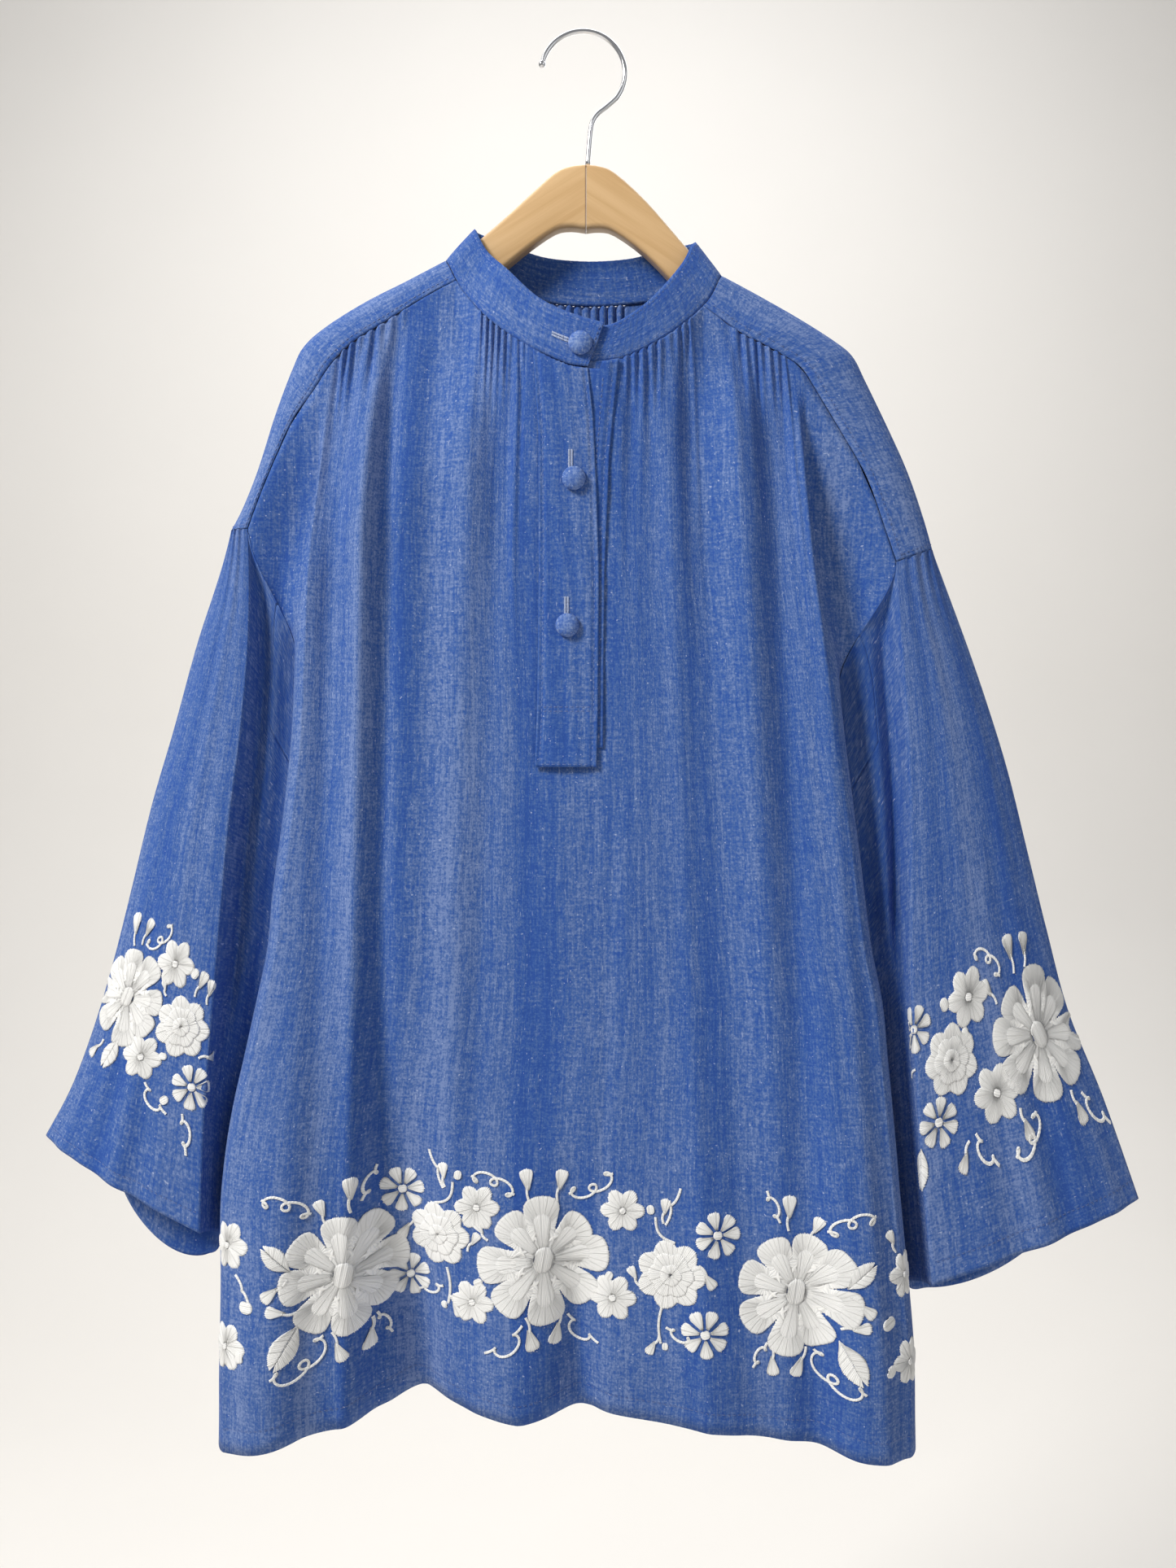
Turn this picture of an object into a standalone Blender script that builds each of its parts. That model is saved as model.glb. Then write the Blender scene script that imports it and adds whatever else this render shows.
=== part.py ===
"""A loose cotton tunic, buttoned at the neck, hanging on a two-part wooden hanger.

The tables are in millimetres, in a frame that hangs from the crown of the hook: x to the right as seen
from the front, y away from the viewer and z up. The meshes are made in metres.
"""
from collections import Counter, namedtuple
import math

import bmesh
import bpy
from mathutils import Vector

MM = 0.001

# Cloth
CLOTH = 1.6
BAND = 1.8
SEAM = 0.35
SADDLE_GAP = 0.6
PLACKET = 1.2
UNDER_PLACKET = 1.0

# Body
SHOULDER_DEPTH = 17.0
CHEST_DEPTH = 34.0
HEM_DEPTH = 38.0
BACK_DEPTH = 19.0
SPREAD = 150.0
SIDE_ROUND = 14.0
SIDE_Y = -1.0
VALLEY = 8.0
BACK_VALLEY = 3.0
GATHER = 1.1
GATHER_RATIO = 2.0
TURN_START_Z = -400.0
TURN_REACH = 500.0
FOLD_EASE = 60.0
PLACKET_SOFT = 16.0
PLACKET_FLAT_Z = -600.0
HEM_LEVEL = -1000.0
NECK_BLEND = 0.25
NECK_LEVEL_Y = -38.3

# Saddles
SADDLE_ROWS = 16
SADDLE_COLUMNS = 8
SADDLE_EVEN = 1.4

# Rows of a body panel: distances below its top edge, then counts of even rows
GATHER_ROWS = (0.0, 5.0, 14.0, 30.0, 55.0)
CHEST_ROWS = 3
SKIRT_ROWS = 9

# Hanger and hook
WOOD_THICK = 13.0
WOOD_CHAMFER = 3.0
HOOK_WIRE = 1.8
HOOK_RADIUS = 30.4
HOOK_CENTRE = (-2.2, -28.6)
STEM_END_Z = -96.65
TIP_RADII = (0.45, 1.3, 1.4, 1.0)

# Collar band
COLLAR_STEPS = 60
COLLAR_ROWS = 3
COLLAR_NEAR = 0.2
COLLAR_CLEAR = 1.3

# Buttons
BUTTON_RADIUS = 8.2
BUTTON_DOME = 4.6
BUTTON_EDGE = 1.4
BUTTON_SEAT = 0.3
COLLAR_SEAT_Y = -41.3
BUTTON_SEGMENTS = 20

Neck = namedtuple("Neck", "x y z top_x top_y top_z")
Saddle = namedtuple("Saddle", "ridge_x ridge_z seam_x seam_z")
Edge = namedtuple("Edge", "z left right")
Hem = namedtuple("Hem", "x z")
Fold = namedtuple("Fold", "x_top z_top x_low z_low width depth_top depth_low")
Sleeve = namedtuple("Sleeve", "outer_x outer_z ridge_x ridge_y ridge_z inner_x inner_z")
Arm = namedtuple("Arm", "x top height")
Column = namedtuple("Column", "top gather cloth side turn")
Side = namedtuple("Side", "name sign under_z saddle neck_front neck_back strip_y drop sleeve")

# Lower and upper edge of the collar band, from its buttoned end round the left, back and right
COLLAR = (
    Neck(1.5, -41.5, -255.0, 12.5, -39.5, -224.0),
    Neck(-14.0, -41.0, -252.5, -12.0, -39.0, -216.5),
    Neck(-40.0, -37.5, -239.5, -34.0, -34.5, -204.0),
    Neck(-66.0, -29.0, -220.0, -55.0, -26.0, -182.0),
    Neck(-87.0, -16.0, -194.5, -70.0, -15.0, -165.0),
    Neck(-98.8, -9.5, -172.0, -78.5, -9.5, -149.0),
    Neck(-102.0, -1.0, -166.2, -81.0, -1.0, -142.5),
    Neck(-97.0, 9.5, -167.5, -77.5, 8.5, -142.5),
    Neck(-62.0, 16.5, -180.0, -52.0, 13.5, -150.5),
    Neck(-31.0, 18.5, -188.4, -29.5, 15.5, -157.0),
    Neck(0.0, 19.0, -191.6, 0.0, 16.0, -159.5),
    Neck(31.0, 18.5, -190.5, 28.0, 15.5, -158.3),
    Neck(60.0, 16.5, -187.0, 50.0, 13.5, -154.5),
    Neck(94.5, 9.5, -178.0, 75.5, 8.5, -150.0),
    Neck(98.5, 0.0, -177.3, 79.7, 0.0, -151.5),
    Neck(96.0, -9.8, -181.8, 76.0, -9.8, -158.0),
    Neck(86.0, -16.0, -201.0, 68.0, -16.0, -174.0),
    Neck(63.0, -28.0, -225.0, 52.0, -26.0, -196.0),
    Neck(31.0, -35.0, -245.0, 36.0, -32.0, -212.0),
    Neck(7.0, -38.0, -250.5, 15.0, -36.0, -224.5),
    Neck(-14.0, -38.2, -249.0, -4.0, -36.5, -220.0),
)

# Shoulder line and seam of each saddle, from the collar to the sleeve
SADDLE_LEFT = (
    Saddle(-102.0, -166.5, -92.0, -190.0),
    Saddle(-130.0, -181.0, -120.0, -203.5),
    Saddle(-160.0, -196.0, -146.0, -217.5),
    Saddle(-188.0, -213.5, -166.0, -230.0),
    Saddle(-204.5, -228.0, -182.0, -246.0),
    Saddle(-213.0, -245.0, -195.0, -266.0),
    Saddle(-225.0, -277.5, -209.0, -286.0),
    Saddle(-237.5, -318.0, -225.0, -321.0),
    Saddle(-248.5, -346.0, -235.0, -346.0),
    Saddle(-257.0, -362.0, -241.0, -363.0),
)
SADDLE_RIGHT = (
    Saddle(98.5, -178.0, 84.0, -204.0),
    Saddle(127.0, -192.7, 109.0, -222.4),
    Saddle(154.0, -207.5, 125.0, -231.0),
    Saddle(180.0, -224.0, 142.0, -240.4),
    Saddle(193.5, -235.5, 153.7, -249.0),
    Saddle(203.0, -254.0, 164.0, -265.0),
    Saddle(219.8, -289.0, 182.0, -295.0),
    Saddle(233.5, -320.0, 200.0, -326.8),
    Saddle(244.5, -352.0, 213.4, -364.5),
    Saddle(251.0, -375.0, 221.0, -386.5),
)

# Outline of the body from the front
EDGES = (
    Edge(-190.0, -188.0, 156.0),
    Edge(-268.0, -195.0, 162.5),
    Edge(-335.0, -202.0, 167.0),
    Edge(-393.0, -207.0, 172.0),
    Edge(-454.0, -209.5, 180.0),
    Edge(-510.0, -212.0, 186.0),
    Edge(-570.0, -218.0, 193.5),
    Edge(-624.0, -225.0, 200.0),
    Edge(-660.0, -228.0, 204.5),
    Edge(-701.0, -236.0, 212.5),
    Edge(-736.0, -243.5, 215.7),
    Edge(-772.0, -251.5, 219.0),
    Edge(-807.0, -257.0, 222.0),
    Edge(-843.0, -260.0, 225.0),
    Edge(-890.0, -259.0, 229.5),
    Edge(-940.0, -259.5, 233.5),
    Edge(-1014.0, -261.0, 235.0),
)
HEM_FRONT = (
    Hem(-262.0, -1006.0),
    Hem(-206.0, -994.0),
    Hem(-150.0, -987.0),
    Hem(-122.0, -979.0),
    Hem(-83.0, -986.0),
    Hem(-48.0, -990.0),
    Hem(-5.0, -984.0),
    Hem(40.0, -989.0),
    Hem(106.0, -996.0),
    Hem(157.0, -1002.0),
    Hem(195.0, -1008.0),
    Hem(236.0, -1011.0),
)
HEM_BACK = (
    Hem(-262.0, -1006.0),
    Hem(-150.0, -984.0),
    Hem(0.0, -976.0),
    Hem(150.0, -988.0),
    Hem(236.0, -1011.0),
)

# Folds of the front: negative depths come forward
FOLDS_FRONT = (
    Fold(-205.0, -560.0, -216.0, -985.0, 42.0, 0.0, -26.0),
    Fold(-150.0, -600.0, -122.0, -960.0, 31.0, 0.0, 27.0),
    Fold(-60.0, -760.0, -50.0, -980.0, 27.0, 0.0, -9.0),
    Fold(-8.0, -780.0, -5.0, -980.0, 16.0, 0.0, 9.0),
    Fold(70.0, -640.0, 92.0, -980.0, 42.0, 0.0, -10.0),
    Fold(158.0, -540.0, 194.0, -985.0, 34.0, 0.0, -22.0),
    Fold(-150.0, -250.0, -160.0, -760.0, 17.0, -6.0, -3.0),
    Fold(-176.0, -280.0, -186.0, -700.0, 12.0, 5.0, 2.0),
    Fold(-108.0, -230.0, -112.0, -560.0, 13.0, 3.0, 1.0),
    Fold(-80.0, -250.0, -88.0, -520.0, 11.0, -3.0, -1.0),
    Fold(-58.0, -270.0, -66.0, -480.0, 8.0, 2.5, 0.5),
    Fold(56.0, -270.0, 66.0, -520.0, 9.0, -2.5, -1.0),
    Fold(78.0, -260.0, 92.0, -560.0, 11.0, 3.0, 1.0),
    Fold(106.0, -250.0, 122.0, -600.0, 14.0, -5.0, -3.0),
    Fold(132.0, -270.0, 148.0, -640.0, 12.0, 4.0, 2.0),
)
FOLDS_BACK = (
    Fold(-150.0, -620.0, -170.0, -980.0, 38.0, 0.0, 12.0),
    Fold(-70.0, -560.0, -84.0, -980.0, 34.0, 0.0, -9.0),
    Fold(10.0, -260.0, 6.0, -980.0, 30.0, 3.0, 9.0),
    Fold(82.0, -600.0, 96.0, -980.0, 32.0, 0.0, -8.0),
    Fold(150.0, -620.0, 172.0, -980.0, 36.0, 0.0, 12.0),
)

# Outer edge, front fold and inner edge of each sleeve, from the saddle to the cuff
SLEEVE_LEFT = (
    Sleeve(-257.5, -362.5, -241.5, -17.0, -364.0, -210.0, -457.0),
    Sleeve(-266.0, -394.0, -240.0, -19.0, -405.0, -214.0, -482.0),
    Sleeve(-282.0, -443.0, -241.0, -21.0, -455.0, -216.5, -515.0),
    Sleeve(-299.0, -505.0, -245.5, -23.0, -510.0, -220.0, -555.0),
    Sleeve(-315.0, -560.0, -252.0, -25.0, -565.0, -225.5, -602.0),
    Sleeve(-330.0, -622.0, -257.5, -27.0, -628.0, -231.0, -655.0),
    Sleeve(-342.0, -670.0, -262.0, -28.0, -685.0, -240.5, -705.0),
    Sleeve(-356.0, -718.0, -265.5, -29.0, -735.0, -251.0, -755.0),
    Sleeve(-373.0, -764.0, -269.0, -30.0, -790.0, -260.5, -805.0),
    Sleeve(-392.0, -800.0, -271.0, -31.0, -861.0, -265.5, -870.0),
)
SLEEVE_RIGHT = (
    Sleeve(251.5, -375.5, 221.5, -17.0, -387.5, 181.0, -480.0),
    Sleeve(262.0, -405.0, 223.5, -19.0, -425.0, 187.0, -503.0),
    Sleeve(277.0, -446.0, 226.0, -21.0, -465.0, 191.0, -535.0),
    Sleeve(291.0, -487.0, 228.5, -23.0, -510.0, 196.0, -575.0),
    Sleeve(306.0, -536.0, 229.5, -25.0, -565.0, 202.0, -625.0),
    Sleeve(321.0, -597.0, 229.0, -27.0, -625.0, 207.5, -665.0),
    Sleeve(334.0, -650.0, 229.0, -28.0, -690.0, 216.0, -715.0),
    Sleeve(350.0, -710.0, 232.0, -29.0, -750.0, 220.5, -765.0),
    Sleeve(375.0, -772.0, 236.0, -30.0, -815.0, 225.8, -825.0),
    Sleeve(401.0, -846.0, 243.0, -31.0, -898.0, 234.0, -905.0),
)
SLEEVE_FRONT_STEPS = 10
SLEEVE_PLEAT_STEPS = 7
SLEEVE_BACK_STEPS = 11
SLEEVE_ROWS = 15
SLEEVE_BACK_Y = 10.0
SLEEVE_INNER_Y = -2.0
SLEEVE_HEAD_BLEND = 0.16
SLEEVE_GATHER = 1.3
GATHER_START = 0.02
GATHER_END = 0.2
STRIP_WIDTH = 22.0
STRIP_PLACE = 0.62
STRIP_SHARP = 0.2
PLEAT_PLACE = 0.38
PLEAT_EVEN = 1.3
BACK_TURN = 0.12
SAG_START = 0.55
SAG_REACH = 0.45
UNDERARM_SPREAD = 1.5
GUSSET_ROWS = 4
GUSSET_COLUMNS = 3

# Hanger arms: x, upper edge and height of the wood, from the joint to the tip
ARM_LEFT = (
    Arm(-0.2, -97.0, 47.0),
    Arm(-11.0, -98.2, 44.5),
    Arm(-22.5, -103.0, 42.0),
    Arm(-41.0, -119.5, 38.0),
    Arm(-59.0, -136.0, 36.0),
    Arm(-80.0, -154.0, 33.0),
    Arm(-102.0, -171.2, 30.0),
    Arm(-130.0, -184.0, 27.0),
    Arm(-160.0, -199.3, 25.0),
    Arm(-186.0, -216.2, 20.0),
    Arm(-192.0, -222.5, 10.0),
)
ARM_RIGHT = (
    Arm(0.2, -97.0, 47.0),
    Arm(10.0, -98.2, 45.0),
    Arm(21.0, -103.0, 43.0),
    Arm(43.0, -123.0, 39.0),
    Arm(67.0, -150.5, 36.0),
    Arm(82.0, -167.5, 33.0),
    Arm(98.5, -183.3, 30.0),
    Arm(127.0, -197.6, 27.0),
    Arm(154.0, -212.6, 25.0),
    Arm(178.0, -228.2, 20.0),
    Arm(184.0, -233.5, 10.0),
)

# Underarm height, places of the saddle on the collar, depth of the sleeve's second fold and sag of its back
LEFT = Side("left", -1.0, -457.0, SADDLE_LEFT, 4.4, 7.3, -6.0, 38.0, SLEEVE_LEFT)
RIGHT = Side("right", 1.0, -480.0, SADDLE_RIGHT, 16.15, 12.75, -12.0, 22.0, SLEEVE_RIGHT)
SIDE_COLUMNS = 7
FIRST_RIDGE = {"left": 0.44, "right": 0.39}

PLACKET_LEFT = ((-244.0, -36.9), (-300.0, -33.0), (-400.0, -33.0), (-492.0, -34.0), (-534.0, -35.7))
PLACKET_RIGHT = ((-255.0, 1.3), (-290.0, 5.0), (-340.0, 7.4), (-396.0, 9.1), (-492.0, 8.5), (-534.0, 7.4))
UNDER_RIGHT = ((-240.0, 24.0), (-271.0, 21.0), (-316.0, 16.5), (-362.0, 14.5), (-396.0, 13.0), (-520.0, 12.0))
UNDER_LEFT_X = -29.0
PLACKET_TOP = -250.0
PLACKET_LOW = -533.5
UNDER_LOW = -520.0
PLACKET_ROWS = 14
PLACKET_COLUMNS = 6
COLLAR_END_X = 11.0
PLACKET_MIDDLE = -8.0
PLACKET_HALF = 34.0
BUTTONS = ((-4.0, -239.3), (-8.5, -332.7), (-13.0, -434.6))


def mix(a, b, t):
    return a + (b - a) * t


def smooth(t):
    """Eased step from 0 to 1."""
    t = min(max(t, 0.0), 1.0)
    return t * t * (3.0 - 2.0 * t)


def spline(rows, place):
    """Smooth curve through a table's rows; place counts rows from 0."""
    place = min(max(place, 0.0), len(rows) - 1.0)
    i = min(int(place), len(rows) - 2)
    f = place - i
    a, b, c, d = (rows[min(max(k, 0), len(rows) - 1)] for k in (i - 1, i, i + 1, i + 2))
    return [
        0.5 * (2 * q + (r - p) * f + (2 * p - 5 * q + 4 * r - s) * f * f + (3 * q - p - 3 * r + s) * f ** 3)
        for p, q, r, s in zip(a, b, c, d)
    ]


def lookup(rows, key, value=1):
    """Straight-line reading of a table whose first column runs one way."""
    way = 1.0 if rows[-1][0] > rows[0][0] else -1.0
    for low, high in zip(rows, rows[1:]):
        if way * key <= way * high[0] or high is rows[-1]:
            t = min(max((key - low[0]) / (high[0] - low[0]), 0.0), 1.0)
            return mix(low[value], high[value], t)


def collar_low(place):
    """Point on the collar's lower seam."""
    return Vector(spline(COLLAR, place)[:3])


def saddle_ridge(side, s):
    row = spline(side.saddle, s * (len(side.saddle) - 1))
    return Vector((row[0], 0.0, row[1]))


def saddle_seam(side, s, back=False):
    """Seam of the saddle with the front or the back; it starts on the collar."""
    row = spline(side.saddle, s * (len(side.saddle) - 1))
    depth = SHOULDER_DEPTH if back else -SHOULDER_DEPTH
    seam = Vector((row[2], depth, row[3]))
    neck = neck_edge(side.neck_back if back else side.neck_front)
    start = side.saddle[0]
    return seam + (neck - Vector((start.seam_x, depth, start.seam_z))) * (1.0 - smooth(s / NECK_BLEND))


def neck_edge(place):
    """Edge of a body piece under the collar: the collar's seam, moved out and down by the seam gap."""
    low = collar_low(place)
    out = Vector((low.x, low.y * 2.5, 0.0)).normalized()
    return low + out * SEAM + Vector((0.0, 0.0, -SEAM))


def body_edge(z, sign):
    """Outline of the body at height z, on its right side for a positive sign."""
    for i, (high, low) in enumerate(zip(EDGES, EDGES[1:])):
        if z >= low.z or low is EDGES[-1]:
            t = min(max((high.z - z) / (high.z - low.z), 0.0), 1.0)
            edge = Edge(*spline(EDGES, i + t))
            return edge.right if sign > 0.0 else edge.left


def fold_depth(folds, x, z):
    """Sum of the soft folds at a place on a panel."""
    total = 0.0
    for fold in folds:
        t = (fold.z_top - z) / (fold.z_top - fold.z_low)
        if t < -0.15:
            continue
        ease = smooth((t + 0.15) / 0.3)
        centre = mix(fold.x_top, fold.x_low, t)
        depth = mix(fold.depth_top, fold.depth_low, smooth(t)) * ease
        total += depth * math.exp(-1.2 * ((x - centre) / fold.width) ** 2)
    return total


def front_top(x):
    """Height and depth of the front panel's upper edge at x."""
    return lookup(FRONT_TOP, x, 2), lookup(FRONT_TOP, x, 1)


def back_top(x):
    return lookup(BACK_TOP, x, 2), lookup(BACK_TOP, x, 1)


def front_depth(x, z):
    top_z, top_y = front_top(x)
    below = top_z - z
    base = -mix(CHEST_DEPTH, HEM_DEPTH, smooth((TURN_START_Z - z) / TURN_REACH))
    level = mix(top_y, base, smooth(below / SPREAD))
    beside = smooth((abs(x - PLACKET_MIDDLE) - PLACKET_HALF) / PLACKET_SOFT)
    plain = 1.0 - (1.0 - beside) * smooth((z - PLACKET_FLAT_Z) / FOLD_EASE)
    return level + fold_depth(FOLDS_FRONT, x, z) * smooth(below / FOLD_EASE) * plain


def back_depth(x, z):
    top_z, top_y = back_top(x)
    below = top_z - z
    level = mix(top_y, BACK_DEPTH, smooth(below / SPREAD))
    return level + fold_depth(FOLDS_BACK, x, z) * smooth(below / FOLD_EASE)


def side_point(side, turn, top, z, depth, back):
    """Place and inward direction on the part of a panel that turns round the side; turn runs 0 to 1."""
    edge = body_edge(z, side.sign)
    angle = math.radians(90.0 * (1.0 - turn))
    inner = edge - side.sign * SIDE_ROUND
    facing = 1.0 if back else -1.0
    flat = depth(inner, z)
    x = edge - side.sign * SIDE_ROUND * (1.0 - math.cos(angle))
    y = mix(SIDE_Y + facing * SEAM / 2.0, flat, math.sin(angle))
    u = smooth((top.z - z) / max(top.z - side.under_z, 1.0))
    valley = BACK_VALLEY if back else VALLEY
    y = mix(top.y, y, u * u) - facing * valley * 4.0 * u * (1.0 - u) * math.sin(math.pi * turn)
    x = mix(top.x, x, u)
    bend = u ** 3
    direction = Vector((-side.sign * math.cos(angle) * bend, -facing * mix(1.0, math.sin(angle), bend), 0.0))
    return Vector((x, y, z)), direction.normalized()


def panel_rows(top_z, hem_z, under_z, even=False):
    """Heights of a column's points: gathers, chest and skirt; even spaces them alike down to the underarm."""
    if even:
        count = len(GATHER_ROWS) - 1 + CHEST_ROWS
        heights = [mix(top_z, under_z, i / count) for i in range(count + 1)]
    else:
        heights = [top_z - d for d in GATHER_ROWS]
        low = heights[-1]
        heights += [mix(low, under_z, (i + 1) / CHEST_ROWS) for i in range(CHEST_ROWS)]
    heights += [mix(under_z, hem_z, (i + 1) / SKIRT_ROWS) for i in range(SKIRT_ROWS)]
    return heights


def side_columns(side, back):
    """Columns from the armhole corner to the ridge of the side fold."""
    columns = []
    for k in range(SIDE_COLUMNS, 0, -1):
        s = mix(FIRST_RIDGE[side.name], 1.0, k / SIDE_COLUMNS)
        columns.append(Column(saddle_seam(side, s, back), 0.0, 0.0, side, k / SIDE_COLUMNS))
    return columns


def run(start, end, count, place, gather, cloth):
    """Columns whose tops follow place(t), from start up to but not at end."""
    columns = []
    for i in range(count):
        columns.append(Column(place(mix(start, end, i / count)), gather, cloth, None, 0.0))
    return columns


def front_columns():
    def left(s):
        return saddle_seam(LEFT, s)

    def right(s):
        return saddle_seam(RIGHT, s)

    def neck(place):
        point = neck_edge(place)
        point.y = max(point.y, NECK_LEVEL_Y)
        return point

    columns = side_columns(LEFT, False)
    columns += run(0.44, 0.40, 1, left, 0.0, 1.0)
    columns += run(0.40, 0.13, 18, left, GATHER, GATHER_RATIO)
    columns += run(0.13, 0.0, 3, left, 0.0, 1.0)
    columns += run(4.4, 3.45, 3, neck, 0.0, 1.0)
    columns += run(3.45, 2.05, 26, neck, GATHER, GATHER_RATIO)
    columns += run(2.05, 1.0, 4, neck, 0.0, 1.0)
    columns += run(19.0, 18.2, 2, neck, 0.0, 1.0)
    columns += run(18.2, 16.5, 28, neck, GATHER, GATHER_RATIO)
    columns += run(16.5, 16.15, 2, neck, 0.0, 1.0)
    columns += run(0.0, 0.08, 2, right, 0.0, 1.0)
    columns += run(0.08, 0.35, 18, right, GATHER, GATHER_RATIO)
    columns += run(0.35, 0.39, 1, right, 0.0, 1.0)
    columns += run(0.39, 0.40, 1, right, 0.0, 1.0)
    return columns + side_columns(RIGHT, False)[::-1]


def back_columns():
    def left(s):
        return saddle_seam(LEFT, s, True)

    def right(s):
        return saddle_seam(RIGHT, s, True)

    columns = side_columns(LEFT, True)
    columns += run(0.44, 0.0, 7, left, 0.0, 1.0)
    columns += run(7.3, 9.0, 4, neck_edge, 0.0, 1.0)
    columns += run(9.0, 11.0, 20, neck_edge, GATHER, GATHER_RATIO)
    columns += run(11.0, 12.75, 5, neck_edge, 0.0, 1.0)
    columns += run(0.0, 0.39, 6, right, 0.0, 1.0)
    columns += run(0.39, 0.40, 1, right, 0.0, 1.0)
    return columns + side_columns(RIGHT, True)[::-1]


def hem_shares(columns):
    """Share of the hem's width at which each column ends, from the cloth between the columns' tops."""
    reach = [0.0]
    for one, two in zip(columns, columns[1:]):
        step = abs(two.top.x - one.top.x) * one.cloth if one.side is None and two.side is None else 0.0
        reach.append(reach[-1] + step)
    return [r / reach[-1] for r in reach]


def panel_point(column, share, z, depth, back):
    """Place and inward direction on a body panel's column at height z."""
    facing = 1.0 if back else -1.0
    if column.side:
        return side_point(column.side, column.turn, column.top, z, depth, back)
    left = body_edge(z, -1.0) + SIDE_ROUND
    right = body_edge(z, 1.0) - SIDE_ROUND
    top_left = body_edge(column.top.z, -1.0) + SIDE_ROUND
    top_right = body_edge(column.top.z, 1.0) - SIDE_ROUND
    first = (column.top.x - top_left) / (top_right - top_left)
    down = (column.top.z - z) / (column.top.z - HEM_LEVEL)
    x = mix(left, right, mix(first, share, smooth(down) * 0.4 + down * 0.6))
    return Vector((x, depth(x, z), z)), Vector((0.0, -facing, 0.0))


def body_panel(name, columns, depth, hem, back, material):
    """Front or back panel: full columns over the gathers, every second one below them."""
    facing = 1.0 if back else -1.0
    shares = hem_shares(columns)
    if len(columns) % 2 == 0:
        raise ValueError("a panel needs an odd number of columns")
    points, inward, rows = [], [], []
    last = len(GATHER_ROWS) + CHEST_ROWS + SKIRT_ROWS
    heights = []
    for column, share in zip(columns, shares):
        under = column.side.under_z if column.side else mix(LEFT.under_z, RIGHT.under_z, share)
        edge = mix(body_edge(HEM_LEVEL, -1.0), body_edge(HEM_LEVEL, 1.0), share)
        if column.side:
            edge = body_edge(HEM_LEVEL, column.side.sign)
        heights.append(panel_rows(column.top.z, lookup(hem, edge), under, column.side is not None))
    for r in range(last):
        step = 1 if r < len(GATHER_ROWS) - 1 else 2
        row = []
        for j in range(0, len(columns), step):
            point, direction = panel_point(columns[j], shares[j], heights[j][r], depth, back)
            if step == 1:
                fade = 1.0 - smooth(GATHER_ROWS[r] / GATHER_ROWS[-1])
                point.y += facing * columns[j].gather * fade * (1.0 if j % 2 else -1.0)
            row.append(len(points))
            points.append(point)
            inward.append(direction)
        rows.append(row)
    faces = []
    for upper, lower in zip(rows, rows[1:]):
        if len(upper) == len(lower):
            faces += strip(upper, lower)
        else:
            for k in range(len(lower) - 1):
                faces.append((upper[2 * k], lower[k], upper[2 * k + 1]))
                faces.append((lower[k], lower[k + 1], upper[2 * k + 1]))
                faces.append((upper[2 * k + 1], lower[k + 1], upper[2 * k + 2]))
    return shell(name, points, inward, faces, CLOTH, material)


def strip(upper, lower, closed=False):
    """Quads between two rows of point numbers."""
    count = len(upper)
    ends = range(count if closed else count - 1)
    return [(upper[k], lower[k], lower[(k + 1) % count], upper[(k + 1) % count]) for k in ends]


def shell(name, points, inward, faces, thickness, material):
    """Closed wall: the faces, their copy moved inward and a rim along each open edge."""
    mesh = bmesh.new()
    outer = [mesh.verts.new(p * MM) for p in points]
    inner = [mesh.verts.new((p + d * thickness) * MM) for p, d in zip(points, inward)]
    uses = Counter()
    for face in faces:
        mesh.faces.new([outer[i] for i in face])
        mesh.faces.new([inner[i] for i in reversed(face)])
        uses.update(frozenset(pair) for pair in zip(face, face[1:] + face[:1]))
    for face in faces:
        for a, b in zip(face, face[1:] + face[:1]):
            if uses[frozenset((a, b))] == 1:
                mesh.faces.new((outer[b], outer[a], inner[a], inner[b]))
    return finish(name, mesh, material)


def finish(name, mesh, material, smooth_angle=50.0):
    """Turns a bmesh into a named object with its material and smooth shading."""
    loose = [v for v in mesh.verts if not v.link_faces]
    bmesh.ops.delete(mesh, geom=loose, context="VERTS")
    bmesh.ops.triangulate(mesh, faces=mesh.faces[:])
    bmesh.ops.recalc_face_normals(mesh, faces=mesh.faces[:])
    data = bpy.data.meshes.new(name)
    mesh.to_mesh(data)
    mesh.free()
    data.shade_smooth()
    data.set_sharp_from_angle(angle=math.radians(smooth_angle))
    data.materials.append(material)
    piece = bpy.data.objects.new(name, data)
    bpy.context.scene.collection.objects.link(piece)
    return piece


def make_material(name, colour, roughness, metallic=0.0):
    material = bpy.data.materials.new(name)
    material.use_nodes = True
    shader = material.node_tree.nodes["Principled BSDF"]
    shader.inputs["Base Color"].default_value = (*colour, 1.0)
    shader.inputs["Roughness"].default_value = roughness
    shader.inputs["Metallic"].default_value = metallic
    return material


def saddle_point(side, s, turn):
    """Place and inward direction on a saddle; turn runs -1 at the front seam to 1 at the back seam."""
    point, across, angle = saddle_section(side, s, turn)
    place = mix(side.neck_front, side.neck_back, (turn + 1.0) / 2.0)
    start = saddle_section(side, 0.0, turn)[0]
    point += (neck_edge(place) - start) * (1.0 - smooth(s / NECK_BLEND))
    facing = 1.0 if turn > 0.0 else -1.0
    return point, (across * math.cos(angle) + Vector((0.0, -facing, 0.0)) * math.sin(angle)).normalized()


def saddle_section(side, s, turn):
    """Place on a saddle's own arch, the way from its ridge down to its seam, and the angle turned."""
    ridge = saddle_ridge(side, s)
    drop = saddle_seam(side, s, turn > 0.0) - ridge
    level = Vector((drop.x, 0.0, drop.z))
    angle = math.radians(90.0 * abs(turn))
    point = ridge + level * (1.0 - math.cos(angle))
    point.y = drop.y * math.sin(angle)
    return point, level.normalized(), angle


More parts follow.
